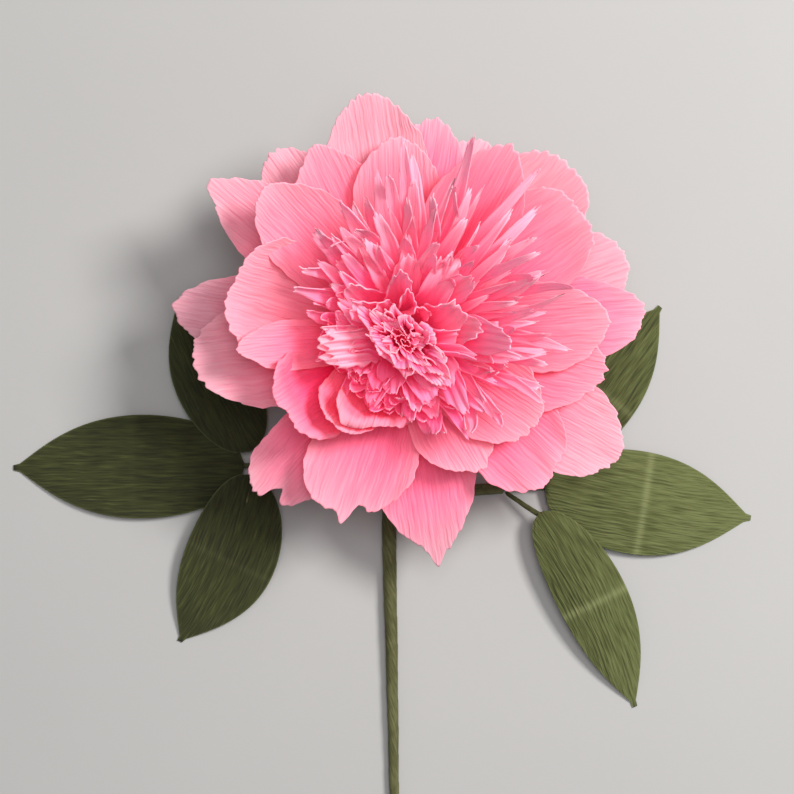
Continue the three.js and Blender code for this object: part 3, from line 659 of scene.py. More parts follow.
def wide_petal(order, name, rank, azimuth, reach, half, point, cup, curl):
    """A wide petal: half-width grows by a sine to its widest and then stays, and the tip is a rounded end.
    Its edges are drawn forward by the cup and its tip by the curl, in layers, with a wavy edge. Its tip
    rolls by an angle that rises along it, and its lip turns back."""
    shaping = SHAPING.get(name, {})
    columns, rows = PETAL_CELLS
    u = np.linspace(-1, 1, columns + 1)[None, :]
    rise = rows_to_tip(rows, PETAL_CROWDING)[:, None]
    place = u * half
    flat = PETAL_FIRST_LAYER + PETAL_STEP * rank
    length = length_for(flat, reach)
    corner = 1 - np.sqrt(1 - PETAL_FULLNESS * u * u)
    skew = shaping.get("skew", PETAL_SKEW * scatter(5 * order + 2))
    ends = length * (1 - PETAL_ROUNDING * corner - point * np.abs(u)) * (1 + skew * u)
    ends = ends + END_WAVE * ripple(place, order, END_WAVE_LENGTH * half)
    ends = ends + END_NICKS * ripple(place, order + 20, END_NICK_LENGTH)
    ends = ends - END_TEAR * frayed(columns + 1, order)[None, :]
    for spot, tooth, spread in shaping.get("teeth", []):
        ends = ends + tooth * bell((u - spot) * half, spread)
    along = rise * ends
    share = along / length
    width = lerp(PETAL_BASE, half, np.sin(np.pi / 2 * np.minimum(share / PETAL_WIDEST, 1)))
    nicks = SIDE_NICKS * ripple(along, order + 50, SIDE_NICK_LENGTH)
    waves = SIDE_WAVE * ripple(along, order + 60, SIDE_WAVE_LENGTH)
    across = u * width * (1 + nicks + waves)
    wave = shaping.get("wave", PETAL_WAVE) * ripple(place + 0.2 * along, order + 100, PETAL_WAVE_LENGTH)
    lift = share**2 * (cup * u * u + wave) + curl * rise**2
    lift = lift + shaping.get("edge", 0) * share * rising(u, RAISED_FROM)
    radius, height, heading = section(flat - lift, along)
    lip = np.radians(shaping.get("lip", 0)) * (0.7 + 0.5 * ripple(place, order + 170, LIP_WAVE_LENGTH))
    roll = np.radians(shaping.get("roll", CURL_ROLL * curl))
    roll = roll * rising(share, shaping.get("roll_from", ROLL_FROM), LIP_FROM)
    out, up = rolled(heading, lip * rising(rise, LIP_FROM) - roll, along, 0)
    radius = radius + out
    points = round_axis(radius, height + up, np.radians(azimuth) + across / radius)
    inside = np.minimum((1 - np.abs(u)) * width, ends - along)
    relief = crepe(place, along, order) * smooth(along / FLARE) * smooth(inside + EDGE_RELIEF)
    tone = shaping.get("tone", 0.5 + 0.5 * scatter(order + 3))
    worn = 0.55 + 0.45 * ripple(place + 0.7 * along, order + 150, WORN_LENGTH)
    rim = np.maximum(worn * bell(inside, RIM_WIDTH), FADE * np.exp(-inside / FADE_WIDTH))
    return as_sheet(points, grid_cells(rows, columns), place, along, share, rim, tone, relief)


def middle_angles(start, widths):
    """The angle of each tab's midline, for tabs laid side by side from a start."""
    return start + np.cumsum(widths) - widths / 2


def tabbed_strip(layer, start, widths, free, shape, seed, cells=TAB_CELLS):
    """A strip wound once round the head, with tabs cut into its upper edge and their feet left joined.
    widths is each tab's angle of the strip, free its length above the flare, and shape gives its own form:
    widest half-width, width and rounding of its tip, lean in layers, roll, fold along the midline and twist
    in degrees, sway to one side, curl of its torn tip, crimp, paleness, tone and ripeness of the dyed colour.
    Tone and ripeness also carry painted shade and painted light on some pieces."""
    columns, rows = cells
    tabs = len(widths)
    seeds = range(seed * 100, seed * 100 + tabs)
    random = np.random.default_rng(seed)
    column = lambda values: np.asarray(values, float).reshape(-1, 1, 1)
    form = {key: column(values) for key, values in shape.items()}
    free = column(free)
    u = np.linspace(-1, 1, columns + 1)[None, None, :]
    band = np.linspace(0, 1, BAND_ROWS + 1)[:-1]
    rise = np.concatenate([np.zeros(BAND_ROWS), rows_to_tip(rows, TAB_CROWDING)])[None, :, None]
    foot = np.concatenate([band, np.ones(rows + 1)])[None, :, None]
    torn = np.stack([frayed(columns + 1, number) for number in seeds])[:, None, :]
    teeth = np.stack([ripple(TOOTH_SPAN * u[0], number + 50, TOOTH_LENGTH) for number in seeds])
    ends = free * (1 - form["round"] * u * u + TOOTH_SHARE * teeth) - TAB_TEAR * torn
    along = FLARE * foot + rise * ends
    v = np.clip((along - FLARE) / free, 0, 1)
    band_half = column(widths) * section(layer, FLARE)[0] / 2
    swell = lerp(band_half, form["half"], np.sin(np.pi / 2 * np.minimum(v / TAB_WIDEST, 1)))
    taper = 1 - (1 - form["tip"]) * np.clip((v - TAB_WIDEST) / (1 - TAB_WIDEST), 0, 1) ** TAB_TAPER
    uneven = np.stack([ripple(UNEVEN_SPAN * rise[0], number + 70, UNEVEN_LENGTH) for number in seeds])
    width = swell * taper * (1 + UNEVEN_SHARE * uneven)
    middle = column(middle_angles(start, widths))
    radius, height, heading = section(layer + form["lean"] * v**2, along)
    turn = -np.radians(form["roll"]) * rising(v, TAB_ROLL_FROM)
    turn = turn + np.radians(form["curl"]) * rising(v, TIP_FROM)
    out, up = rolled(heading, turn, along, 1)
    radius, height, heading = radius + out, height + up, heading + turn
    x = u * width
    fold = np.radians(form["fold"]) * rising(v, 0, FOLD_TO)
    twist = np.radians(form["twist"]) * rising(v, TWIST_FROM)
    soft = np.sqrt(x * x + FOLD_ROUNDING) - np.sqrt(FOLD_ROUNDING)
    crimp = form["crimp"] * np.sin(2 * np.pi * x / CRIMP_PITCH + 0.08 * along) * rising(v, *CRIMP_RISE)
    side, lift = x * np.cos(fold), soft * np.sin(fold) + crimp
    side, lift = side * np.cos(twist) - lift * np.sin(twist), side * np.sin(twist) + lift * np.cos(twist)
    side = side + form["sway"] * v**2
    angle = np.where(rise > 0, side / np.maximum(radius, 1), u * column(widths) / 2)
    points = round_axis(radius - lift * np.cos(heading), height + lift * np.sin(heading), middle + angle)
    sides = (1 - np.abs(u)) * width + np.where(rise > 0, 0, UNCUT)
    inside = np.minimum(sides, np.maximum(ends * (1 - rise), 0))
    bleached = random.uniform(*BLEACHED, (tabs, 1, 1))
    strength = random.random((tabs, 1, 1))
    rim = np.maximum(strength * rising(rise, 1 - bleached), SIDE_RIM * bell(sides, RIM_WIDTH))
    rim = np.maximum(rim, form["pale"] * v**2)
    relief = TAB_RELIEF * crepe(x, along, seed) * smooth(v * 4) * smooth(inside + EDGE_RELIEF)
    index = np.arange(points[..., 0].size).reshape(points.shape[:-1])
    shared = BAND_ROWS + 1
    index[1:, :shared, 0] = index[:-1, :shared, -1]
    quads = [index[:, :-1, :-1], index[:, :-1, 1:], index[:, 1:, 1:], index[:, 1:, :-1]]
    used, quads = np.unique(np.stack(quads, -1).reshape(-1, 4), return_inverse=True)
    place = x + TAB_SPACING * np.arange(tabs).reshape(-1, 1, 1)
    reach = form["ripe"] * along / (FLARE + free)
    sheet = as_sheet(points, quads.reshape(-1, 4), place, along, reach, rim, form["tone"], relief)
    for key in ("points", "uv", "reach", "rim", "tone", "relief"):
        sheet[key] = sheet[key][used]
    return sheet


def fringe_strip(index):
    """Petaloids cut into one strip: longest and narrowest towards one side of the head, each folded,
    twisted and rolled by hand, by normal draws within limits. Inner strips have broader, blunter and more
    deeply dyed ones. Their colour is also deeper on the short side, as painted shade, and paler on the
    flame side, as painted light."""
    layer = FRINGE_FIRST_LAYER + FRINGE_STEP * index
    outward = index / (FRINGE_COUNT - 1)
    slit = index >= FIRST_SLIT_STRIP
    foot = section(layer, FLARE)[0]
    whole = np.radians(360 - SEAM)
    tabs = int(whole * foot / (SLIT_PITCH if slit else TAB_PITCH))
    start = np.pi * scatter(index + 1)
    towards = lambda angles: (1 + np.cos(angles - np.radians(TAB_LONG_SIDE))) / 2
    widths = np.full(tabs, whole / tabs)
    if slit:
        for _ in range(SLIT_ROUNDS):
            widths = lerp(SLIT_WIDE, SLIT_NARROW, towards(middle_angles(start, widths)))
            widths = widths * whole / widths.sum()
    azimuth = middle_angles(start, widths)
    side = towards(azimuth)
    upper = bell(turn_from(FLAME_SIDE, azimuth), np.radians(FLAME_SPREAD))
    blunt = np.clip(1 - BLUNT_FADE * outward, 0, 1) * smooth(2 * side)
    random = np.random.default_rng(200 + index)
    long = lerp(TAB_LONG_INNER, TAB_LONG_OUTER, outward)
    short = lerp(TAB_SHORT_INNER, TAB_SHORT_OUTER, outward)
    free = lerp(short, long, side) * (1 + TAB_SCATTER * scatter(7 * index + np.arange(tabs)))
    shortest = lerp(*SLIT_SHORTEST, upper) if slit else BROAD_SHORTEST
    free = free * lerp(shortest, TAB_LONGEST, random.random(tabs))
    stretch = random.uniform(*TAB_STRETCH, tabs)
    if slit:
        stretch = stretch * (lerp(1, SLIT_WIDER_LONG, side) * lerp(1, SLIT_WIDER_FLAME, upper))
    lean = lerp(*TAB_LEAN, side) * (1 - 2 * outward) - TAB_CURL
    roll = lerp(*(SLIT_ROLL if slit else BROAD_ROLL), side)
    shape = {
        "half": TAB_SWELL * widths * foot / 2 * stretch,
        "tip": lerp(random.uniform(*SHARP_TIP, tabs), random.uniform(*BLUNT_TIP, tabs), blunt),
        "round": lerp(*TIP_ROUNDING, blunt),
        "lean": np.maximum(random.normal(lean, lerp(*LEAN_SPREAD, outward), tabs), MOST_LEAN_IN),
        "roll": np.clip(random.normal(roll, ROLL_SPREAD), MOST_ROLL_BACK, lerp(*MOST_ROLL, side)),
        "fold": np.abs(random.normal(lerp(*TAB_FOLD, side), FOLD_SPREAD)),
        "twist": np.clip(random.normal(0, TWIST_SPREAD, tabs), -MOST_TWIST, MOST_TWIST),
        "sway": random.normal(0, SWAY_SPREAD, tabs) * free,
        "curl": np.maximum(random.normal(TIP_CURL, TIP_CURL_SPREAD, tabs), LEAST_TIP_CURL),
        "crimp": 0 if slit else BROAD_CRIMP,
        "tone": random.random(tabs),
        "pale": 0 if slit else BROAD_PALE,
        # painted shade on the short side and painted light on the flame side, over the colour deepening
        # inward
        "ripe": lerp(*RIPE_OUTWARD, outward) * lerp(*RIPE_SHADED_SIDE, side) * (1 + FLAME_PAINTED_LIGHT * upper),
    }
    if index < GATHERED_STRIPS:
        gathered = np.abs(turn_from(GATHERED_SIDE, azimuth)) < np.radians(GATHERED_SPREAD)
        free = np.where(gathered, GATHERED_LENGTH, free)
        shape["half"] = np.where(gathered, shape["half"] * GATHERED_WIDER, shape["half"])
        for key, value in GATHERED_SHAPE.items():
            shape[key] = np.where(gathered, value, shape[key])
    cells = TAB_CELLS if slit else BROAD_TAB_CELLS
    return tabbed_strip(layer, start, widths, free, shape, 300 + index, cells)


def calyx_strip():
    """Five blunt sepals on one strip, pressed against the undersides of the petals."""
    shape = dict.fromkeys(("lean", "roll", "fold", "twist", "sway", "curl", "crimp", "pale"), 0)
    shape |= {"half": SEPAL_HALF_WIDTH, "tip": SEPAL_TIP, "round": SEPAL_ROUNDING, "tone": 0.5, "ripe": 1}
    widths = np.full(SEPALS, np.radians(360 - SEAM) / SEPALS)
    return tabbed_strip(CALYX_LAYER, 0, widths, SEPAL_LENGTH, shape, 400)


def pressed(points, share):
    """Points squeezed towards the upright plane through the axis at PRESSED_SIDE and drawn out along it,
    by a share that may vary."""
    turn = math.radians(PRESSED_SIDE)
    x, y, z = np.moveaxis(points, -1, 0)
    along = (x * math.cos(turn) + y * math.sin(turn)) * (1 + PRESSED_LONGER * share)
    beside = (y * math.cos(turn) - x * math.sin(turn)) * (1 - PRESSED_THINNER * share)
    return np.stack([along * math.cos(turn) - beside * math.sin(turn),
                     along * math.sin(turn) + beside * math.cos(turn), z], -1)


def frill(index):
    """A strip wound twice round the core and gathered: its upper part swings in and out and doubles back
    sideways by sines of an uneven phase, more towards its torn edge, which flops outward."""
    columns, rows = FRILL_CELLS
    turn = np.radians(FRILL_TURNS * 360 - SEAM)
    across = np.linspace(0, 1, columns + 1)[None, :]
    rise = rows_to_tip(rows, FRILL_CROWDING)[:, None]
    middle = FRILL_FIRST_LAYER + FRILL_STEP * index
    full = FLARE + FRILL_LENGTH + FRILL_LENGTH_STEP * index
    waver = lambda seed, wavelength: ripple(across * FRILL_RUN, seed + index, wavelength)
    phase = 2 * np.pi * ((FRILL_WAVES + FRILL_WAVES_STEP * index) * across + 0.8 * waver(500, 13))
    ends = full - FRILL_TEAR * frayed(columns + 1, 505 + index)[None, :]
    ends = ends + FRILL_END_WAVE * waver(510, 7) + FRILL_END_NICKS * waver(515, 1.5)
    along = rise * ends
    ruffle = rising(along / full, FRILL_RUFFLE_FROM)
    radius, height, heading = section(middle + FRILL_WIND * (across - 0.5), along)
    depth = FRILL_SWING + waver(520, 11)
    closing = lerp(*FRILL_CLOSING, across) + FRILL_CLOSING_STEP * index
    swing = ruffle * (depth * np.sin(phase) + 0.3 * waver(525, 1.3) - closing)
    sideways = ruffle * (0.8 * np.sin(2 * phase + 0.6) + 1.2 * waver(540, 15))
    flop = np.radians(FRILL_FLOP) * (FRILL_FLOP_SHARE + 0.7 * waver(550, 10))
    flop = flop * smooth((along - ends) / FRILL_FLOP_LENGTH + 1)
    out, up = rolled(heading, flop, along, 0)
    angle = index + turn * across + sideways / np.maximum(radius, 3)
    points = pressed(round_axis(radius + swing + out, height + up, angle), ruffle)
    girth = turn * section(middle, full)[0]
    pale = (0.55 + 0.45 * waver(560, 6)) * bell(ends - along, FRILL_PALE_EDGE)
    # the tone follows the ruffle's swing, paler where it swings out and deeper where it swings in: painted
    # light on the outer folds and painted shade in the inner ones
    return as_sheet(points, grid_cells(rows, columns), across * girth * FRILL_GATHER, along, along / full,
                    pale, 0.5 + 0.2 * np.sin(phase), 0 * along)


def core_roll():
    """A rolled strip: a spiral that winds out from the wire to the core's radius, with a ruffled upper edge
    that opens out."""
    columns, rows = CORE_CELLS
    across = np.linspace(0, 1, columns + 1)[None, :]
    rise = np.linspace(0, 1, rows + 1)[:, None]
    waver = lambda seed, wavelength: ripple(across * CORE_RUN, seed, wavelength)
    ends = CORE_HEIGHT - CORE_TEAR * frayed(columns + 1, 600)[None, :]
    ends = ends - CORE_END_WAVE * (0.5 + 0.5 * waver(601, 9))
    along = rise * ends
    opened = rising(along, CORE_FLARE_FROM, CORE_HEIGHT)
    inner = lerp(WIRE_RADIUS + FIT_GAP + CORE_PAPER, CORE_EYE, opened)
    spiral = lerp(inner, CORE_RADIUS - CORE_PAPER / 2, across)
    spread = CORE_FLARE * across * opened
    ruffle = lerp(*CORE_RUFFLE, across) * opened * (waver(602, 4) + 0.6 * waver(603, 1.4))
    turn = 2 * np.pi * CORE_TURNS
    points = pressed(round_axis(spiral + spread + ruffle, along, turn * across), opened)
    pale = (0.6 + 0.4 * waver(604, 5)) * bell(ends - along, CORE_PALE_EDGE)
    return as_sheet(points, grid_cells(rows, columns), across * turn * CORE_RADIUS, along,
                    along / CORE_HEIGHT, pale, 0.4, 0 * along, CORE_PAPER)


# Wrapped pieces

def wrap_cells(rings, sides, closed):
    """Quads round a row of rings, joined end to end if the row is closed."""
    index = np.arange(rings * sides).reshape(rings, sides)
    if closed:
        index = np.concatenate([index, index[:1]])
    near, far = index[:-1], index[1:]
    return np.stack([near, np.roll(near, -1, 1), np.roll(far, -1, 1), far], -1).reshape(-1, 4)


def lap_of(along, angle, pitch):
    """Where a point lies in its turn of spirally wound tape, from 0 to 1."""
    return np.mod(along / pitch - angle / (2 * np.pi), 1)


def tape_edge(along, angle, pitch, depth):
    """Height of spirally wound tape: each turn laps over the last one and ends in a small step."""
    lap = lap_of(along, angle, pitch)
    return depth * (smooth(lap / LAP_STEP) - lap)


def curve_through(points, count):
    """A smooth line through a few points, evenly spaced: cubic pieces with slopes from their neighbours.
    Gives its points and how far along it each one lies."""
    points = np.asarray(points, float)
    gaps = np.linalg.norm(np.diff(points, axis=0), axis=1)
    knots = np.concatenate([[0], np.cumsum(gaps)])
    slopes = np.gradient(points, knots, axis=0)
    s = np.linspace(0, knots[-1], count)
    piece = np.clip(np.searchsorted(knots, s, side="right") - 1, 0, len(gaps) - 1)
    t = ((s - knots[piece]) / gaps[piece])[:, None]
    span = gaps[piece][:, None]
    a, b = points[piece], points[piece + 1]
    blend = t * t * (3 - 2 * t)
    pull = span * (t * (1 - t) ** 2 * slopes[piece] - t * t * (1 - t) * slopes[piece + 1])
    return lerp(a, b, blend) + pull, s


def rings_along(path, radius, sides, reference):
    """Rings of points square to a path, with a radius at each point of each ring."""
    tangent = np.gradient(path, axis=0)
    tangent /= np.linalg.norm(tangent, axis=1, keepdims=True)
    first = reference - (tangent @ reference)[:, None] * tangent
    first /= np.linalg.norm(first, axis=1, keepdims=True)
    second = np.cross(tangent, first)
    angle = around(sides)[..., None]
    spokes = first[:, None] * np.cos(angle) + second[:, None] * np.sin(angle)
    return path[:, None] + spokes * radius[..., None]


def ring_arrays(along, angle, girth):
    """Texture coordinates and attributes of a wrapped piece, along it and round it. The rim rises at each
    lap of its tape."""
    shape = np.broadcast(along, angle).shape
    flat = lambda values: np.broadcast_to(values, shape).ravel()
    uv = np.stack([flat(angle / (2 * np.pi) * girth), flat(along)], 1) / DECIMETRE
    lap = lap_of(along, angle, TAPE_PITCH)
    rim = np.exp(-np.minimum(lap, 1 - lap) * LAP_SHARPNESS)
    return uv, {"reach": flat(along / along.max()), "rim": flat(rim), "tone": flat(0.5)}


def wrapped_rod(name, centres, radii, material, sides):
    """A rod wound with tape along a curve, rounded at both ends: rings that shrink to a closing point."""
    length = np.linalg.norm(np.diff(np.asarray(centres, float), axis=0), axis=1).sum()
    path, s = curve_through(centres, max(int(length / ROD_STEP), ROD_LEAST_RINGS))
    along, angle = s[:, None], around(sides)
    radius = np.interp(s, np.linspace(0, s[-1], len(radii)), radii)[:, None]
    radius = radius + ROD_TAPE * tape_edge(along, angle, TAPE_PITCH / 2, TAPE_DEPTH)
    close = np.minimum(along, s[-1] - along)
    rounding = np.sqrt(np.clip(1 - (1 - np.minimum(close / ROD_END, 1)) ** 2, ROD_LEAST, 1))
    rings = rings_along(path, radius * rounding, sides, np.array([0.0, 0.0, 1.0]))
    count = len(path) * sides
    points = np.concatenate([rings.reshape(-1, 3), path[:1], path[-1:]])
    points[:, 2] = np.maximum(points[:, 2], ROD_LOWEST)
    near = np.arange(sides)
    first = np.stack([np.full(sides, count), np.roll(near, -1), near], 1)
    last = np.stack([np.full(sides, count + 1), count - sides + near, count - sides + np.roll(near, -1)], 1)
    uv, attributes = ring_arrays(along, angle, 2 * np.pi * max(radii))
    uv = np.concatenate([uv, uv[:1], uv[-1:]])
    attributes = {key: np.concatenate([v, v[:1], v[-1:]]) for key, v in attributes.items()}
    faces = [wrap_cells(len(path), sides, False), first, last]
    make_piece(name, from_plan(points), faces, material, None, uv, attributes)


def stem_line():
    """The stem's middle line: straight out of the head, round the bend, then along the surface, and the
    radius at each of its points. Heights come from the radius, so that the stem lies on the surface."""
    rim_height = -LAYER_DROP * (CALYX_LAYER + 1)
    exit_depth = RECEPTACLE_DEPTH - rim_height + FIT_GAP
    axis = np.array([0, -math.sin(nod), math.cos(nod)])
    head = np.array([0, 0, HEAD[2]])
    collar = head - axis * exit_depth
    leave = head - axis * (exit_depth + STEM_COLLAR)
    heading = np.linspace(-nod, math.pi / 2, BEND_STEPS + 1)
    bend = np.stack([
        np.zeros(BEND_STEPS + 1),
        leave[1] + STEM_BEND * (np.cos(heading) - math.cos(nod)),
        leave[2] - STEM_BEND * (np.sin(heading) + math.sin(nod)),
    ], 1)
    flat = bend[-1, 1]
    straight = STEM_STRAIGHT - STEM_LENGTH
    plan = [(x, lerp(flat, straight, share)) for share, x in STEM_WANDER]
    plan += [(STEM_END_X, straight - STEM_STRAIGHT / 2), (STEM_END_X, -STEM_LENGTH)]
    plan = np.array(plan)
    taper = lerp(STEM_TOP_RADIUS, STEM_END_RADIUS, np.minimum((flat - plan[:, 1]) / (flat - straight), 1))
    run = np.column_stack([plan, taper])
    line = np.concatenate([[collar], bend, run])
    radii = np.concatenate([np.full(len(bend) + 1, STEM_TOP_RADIUS), taper])
    return line, radii, np.concatenate([bend[-1:], run])


def stem_wrap(material):
    """The stem's tape: an outer wall wound round the stem line and a bore for the wire, joined at both
    ends."""
    line, radii, _ = stem_line()
    sides, rings = STEM_CELLS
    path, s = curve_through(line, rings)
    along, angle = s[:, None], around(sides)
    gaps = np.linalg.norm(np.diff(line, axis=0), axis=1)
    thick = np.interp(s, np.concatenate([[0], np.cumsum(gaps)]), radii)[:, None]
    path[:, 2] = np.maximum(path[:, 2], thick[:, 0] + TAPE_DEPTH)
    outer = thick - TAPE_DEPTH / 2 + tape_edge(along, angle, TAPE_PITCH, TAPE_DEPTH)
    outer = outer + STEM_WOBBLE * np.sin(3 * angle + along / 5)
    bore = np.full_like(outer, WIRE_RADIUS + FIT_GAP / 2)
    reference = np.array([1.0, 0.0, 0.01])
    skin = rings_along(path, outer, sides, reference)
    inner = rings_along(path, bore, sides, reference)
    points = np.concatenate([skin, inner[::-1]]).reshape(-1, 3)
    uv, attributes = ring_arrays(along, angle, 2 * np.pi * STEM_TOP_RADIUS)
    uv = np.tile(uv, (2, 1))
    attributes = {key: np.tile(v, 2) for key, v in attributes.items()}
    faces = wrap_cells(2 * len(path), sides, True)
    make_piece("stem_wrap", from_plan(points), [faces], material, None, uv, attributes)


def receptacle(material):
    """The wound knob: a quarter-ellipse belly from the neck to the rim, turned round the head's axis, with
    turns of tape on its skin, a cone under the petals and a bore for the wire."""
    sides, belly_steps = RECEPTACLE_CELLS
    rim_radius = CORE_RADIUS + LAYER_PITCH * (CALYX_LAYER + 2)
    rim_height = -LAYER_DROP * (CALYX_LAYER + 1)
    bottom = rim_height - RECEPTACLE_DEPTH
    clear = FIT_GAP + PAPER
    turn = np.linspace(0, np.pi / 2, belly_steps + 1)
    radius = lerp(RECEPTACLE_NECK, rim_radius, np.sin(turn))
    height = lerp(bottom, rim_height - RECEPTACLE_RIM, 1 - np.cos(turn))
    bore = WIRE_RADIUS + FIT_GAP
    radius = np.concatenate([[bore], radius, [rim_radius, CORE_RADIUS + LAYER_PITCH, bore]])
    height = np.concatenate([[bottom], height, [rim_height - clear, -clear, -clear]])
    along = np.concatenate([[0], np.cumsum(np.hypot(np.diff(radius), np.diff(height)))])[:, None]
    angle = around(sides)
    skin = np.zeros((len(radius), 1))
    skin[1:belly_steps + 2] = 1
    turns = tape_edge(along, angle, RECEPTACLE_TAPE_PITCH, RECEPTACLE_TAPE_DEPTH)
    wound = radius[:, None] + skin * (turns - RECEPTACLE_TAPE_DEPTH / 2)
    points = round_axis(wound, height[:, None] + 0 * wound, angle).reshape(-1, 3)
    uv, attributes = ring_arrays(along, angle, 2 * np.pi * RECEPTACLE_NECK)
    faces = wrap_cells(len(radius), sides, True)
    make_piece("receptacle", from_head(points), [faces], material, None, uv, attributes)


# Leaves

def leaf_surface(leaf, u, share):
    """A leaf's middle surface: a straight line from base to tip, bowed sideways, with a half-width pointed
    at both ends and fuller towards the base, an arched crown and hanging edges."""
    _, base, tip, half_width, bow, height, arch = leaf
    base, tip = np.array(base, float), np.array(tip, float)
    line = tip - base
    side = np.array([-line[1], line[0]]) / np.linalg.norm(line)
    skewed = share**LEAF_SKEW
    outline = np.maximum(4 * skewed * (1 - skewed), 0) ** (LEAF_FULLNESS + LEAF_TAPER * share**2)
    half = np.maximum(half_width * outline, LEAF_END)
    offset = u * half + bow * 4 * share * (1 - share)
    plan = base + line * share[..., None] + side * offset[..., None]
    crown = lerp(height, PAPER / 2, share) + arch * 4 * share * (1 - share)
    z = crown - LEAF_DROOP * u * u * outline
    return np.concatenate([plan, z[..., None]], -1), half, np.linalg.norm(line)


def leaf_sheet(leaf, order):
    """A leaf of crepe with its ridges along it, and a slow wave that leaves its edges and its tip alone."""
    columns, rows = LEAF_CELLS
    u, share = np.meshgrid(np.linspace(1, -1, columns + 1), np.linspace(0, 1, rows + 1))
    points, half, length = leaf_surface(leaf, u, share)
    along = share * length
    across = u * half + LEAF_DRIFT * ripple(along, 700 + order, LEAF_DRIFT_LENGTH) * np.abs(u) ** 6
    inside = (1 - np.abs(u)) * half
    wave = LEAF_WAVE * ripple(across + 0.3 * along, 720 + order, LEAF_WAVE_LENGTH)
    points[..., 2] += wave * smooth(inside / LEAF_FLAT_EDGE) * smooth(4 * (1 - share))
    points[..., 2] = np.maximum(points[..., 2], LEAF_REST)
    relief = crepe(across, along, 740 + order, LEAF_PITCHES, LEAF_DEPTHS) * smooth(inside + LEAF_EDGE_RELIEF)
    rim = bell(inside, RIM_WIDTH)
    return as_sheet(points, grid_cells(rows, columns), across, along, share, rim, LEAF_LIGHT_AND_SHADE[order], relief)


def leaf_branch(branch, stem_run, leaf_finish, tape_finish, order):
    """A petiole from the stem's side, and three wired leaves at its end."""
    name, joins, end, leaves = branch
    y = stem_run[:, 1]
    joint = np.array([np.interp(-joins, -y, stem_run[:, 0]), joins, np.interp(-joins, -y, stem_run[:, 2])])
    end = np.array([*end, PETIOLE_RADIUS], float)
    outward = (end - joint) * [1, 1, 0]
    outward /= np.linalg.norm(outward)
    start = joint + outward * (STEM_TOP_RADIUS + FIT_GAP + PETIOLE_RADIUS * abs(outward[1]))
    centres = [start, lerp(start, end, 0.5), end]
    wrapped_rod("petiole_" + name, centres, [PETIOLE_RADIUS] * 2, tape_finish, PETIOLE_SIDES)
    across = np.array([-outward[1], outward[0], 0])
    for i, leaf in enumerate(leaves):
        root = end + outward * FIT_GAP + across * (i - 1) * STALK_BUNCH
        shares = np.linspace(STALK_FROM, STALK_TO, STALK_STEPS + 1)
        below = leaf_surface(leaf, np.zeros_like(shares), shares)[0]
        below[:, 2] -= PAPER / 2 + FIT_GAP + STALK_RADIUS
        centres = np.concatenate([[root], [lerp(root, below[0], 0.5)], below])
        radii = np.linspace(STALK_RADIUS, STALK_TIP_RADIUS, len(centres))
        radii[0] = (STALK_BUNCH - STALK_GAP) / 2
        wrapped_rod(f"leaf_wire_{name}_{leaf[0]}", centres, radii, tape_finish, STALK_SIDES)
        sheet = leaf_sheet(leaf, order + i)
        sheet_piece(f"leaf_{name}_{leaf[0]}", sheet, from_plan, leaf_finish)


# Finishes

class Value:
    """A socket in a material. Arithmetic on it adds Math nodes."""

    def __init__(self, finish, socket):
        self.finish = finish
        self.socket = socket

    def math(self, operation, first, second=0.0):
        return self.finish.node("ShaderNodeMath", {"operation": operation}, {0: first, 1: second})

    def __add__(self, other):
        return self.math("ADD", self, other)

    def __sub__(self, other):
        return self.math("SUBTRACT", self, other)

    def __rsub__(self, other):
        return self.math("SUBTRACT", other, self)

    def __mul__(self, other):
        return self.math("MULTIPLY", self, other)

    __radd__ = __add__
    __rmul__ = __mul__

    def clamped(self):
        return self.finish.node("ShaderNodeClamp", {}, {"Value": self})


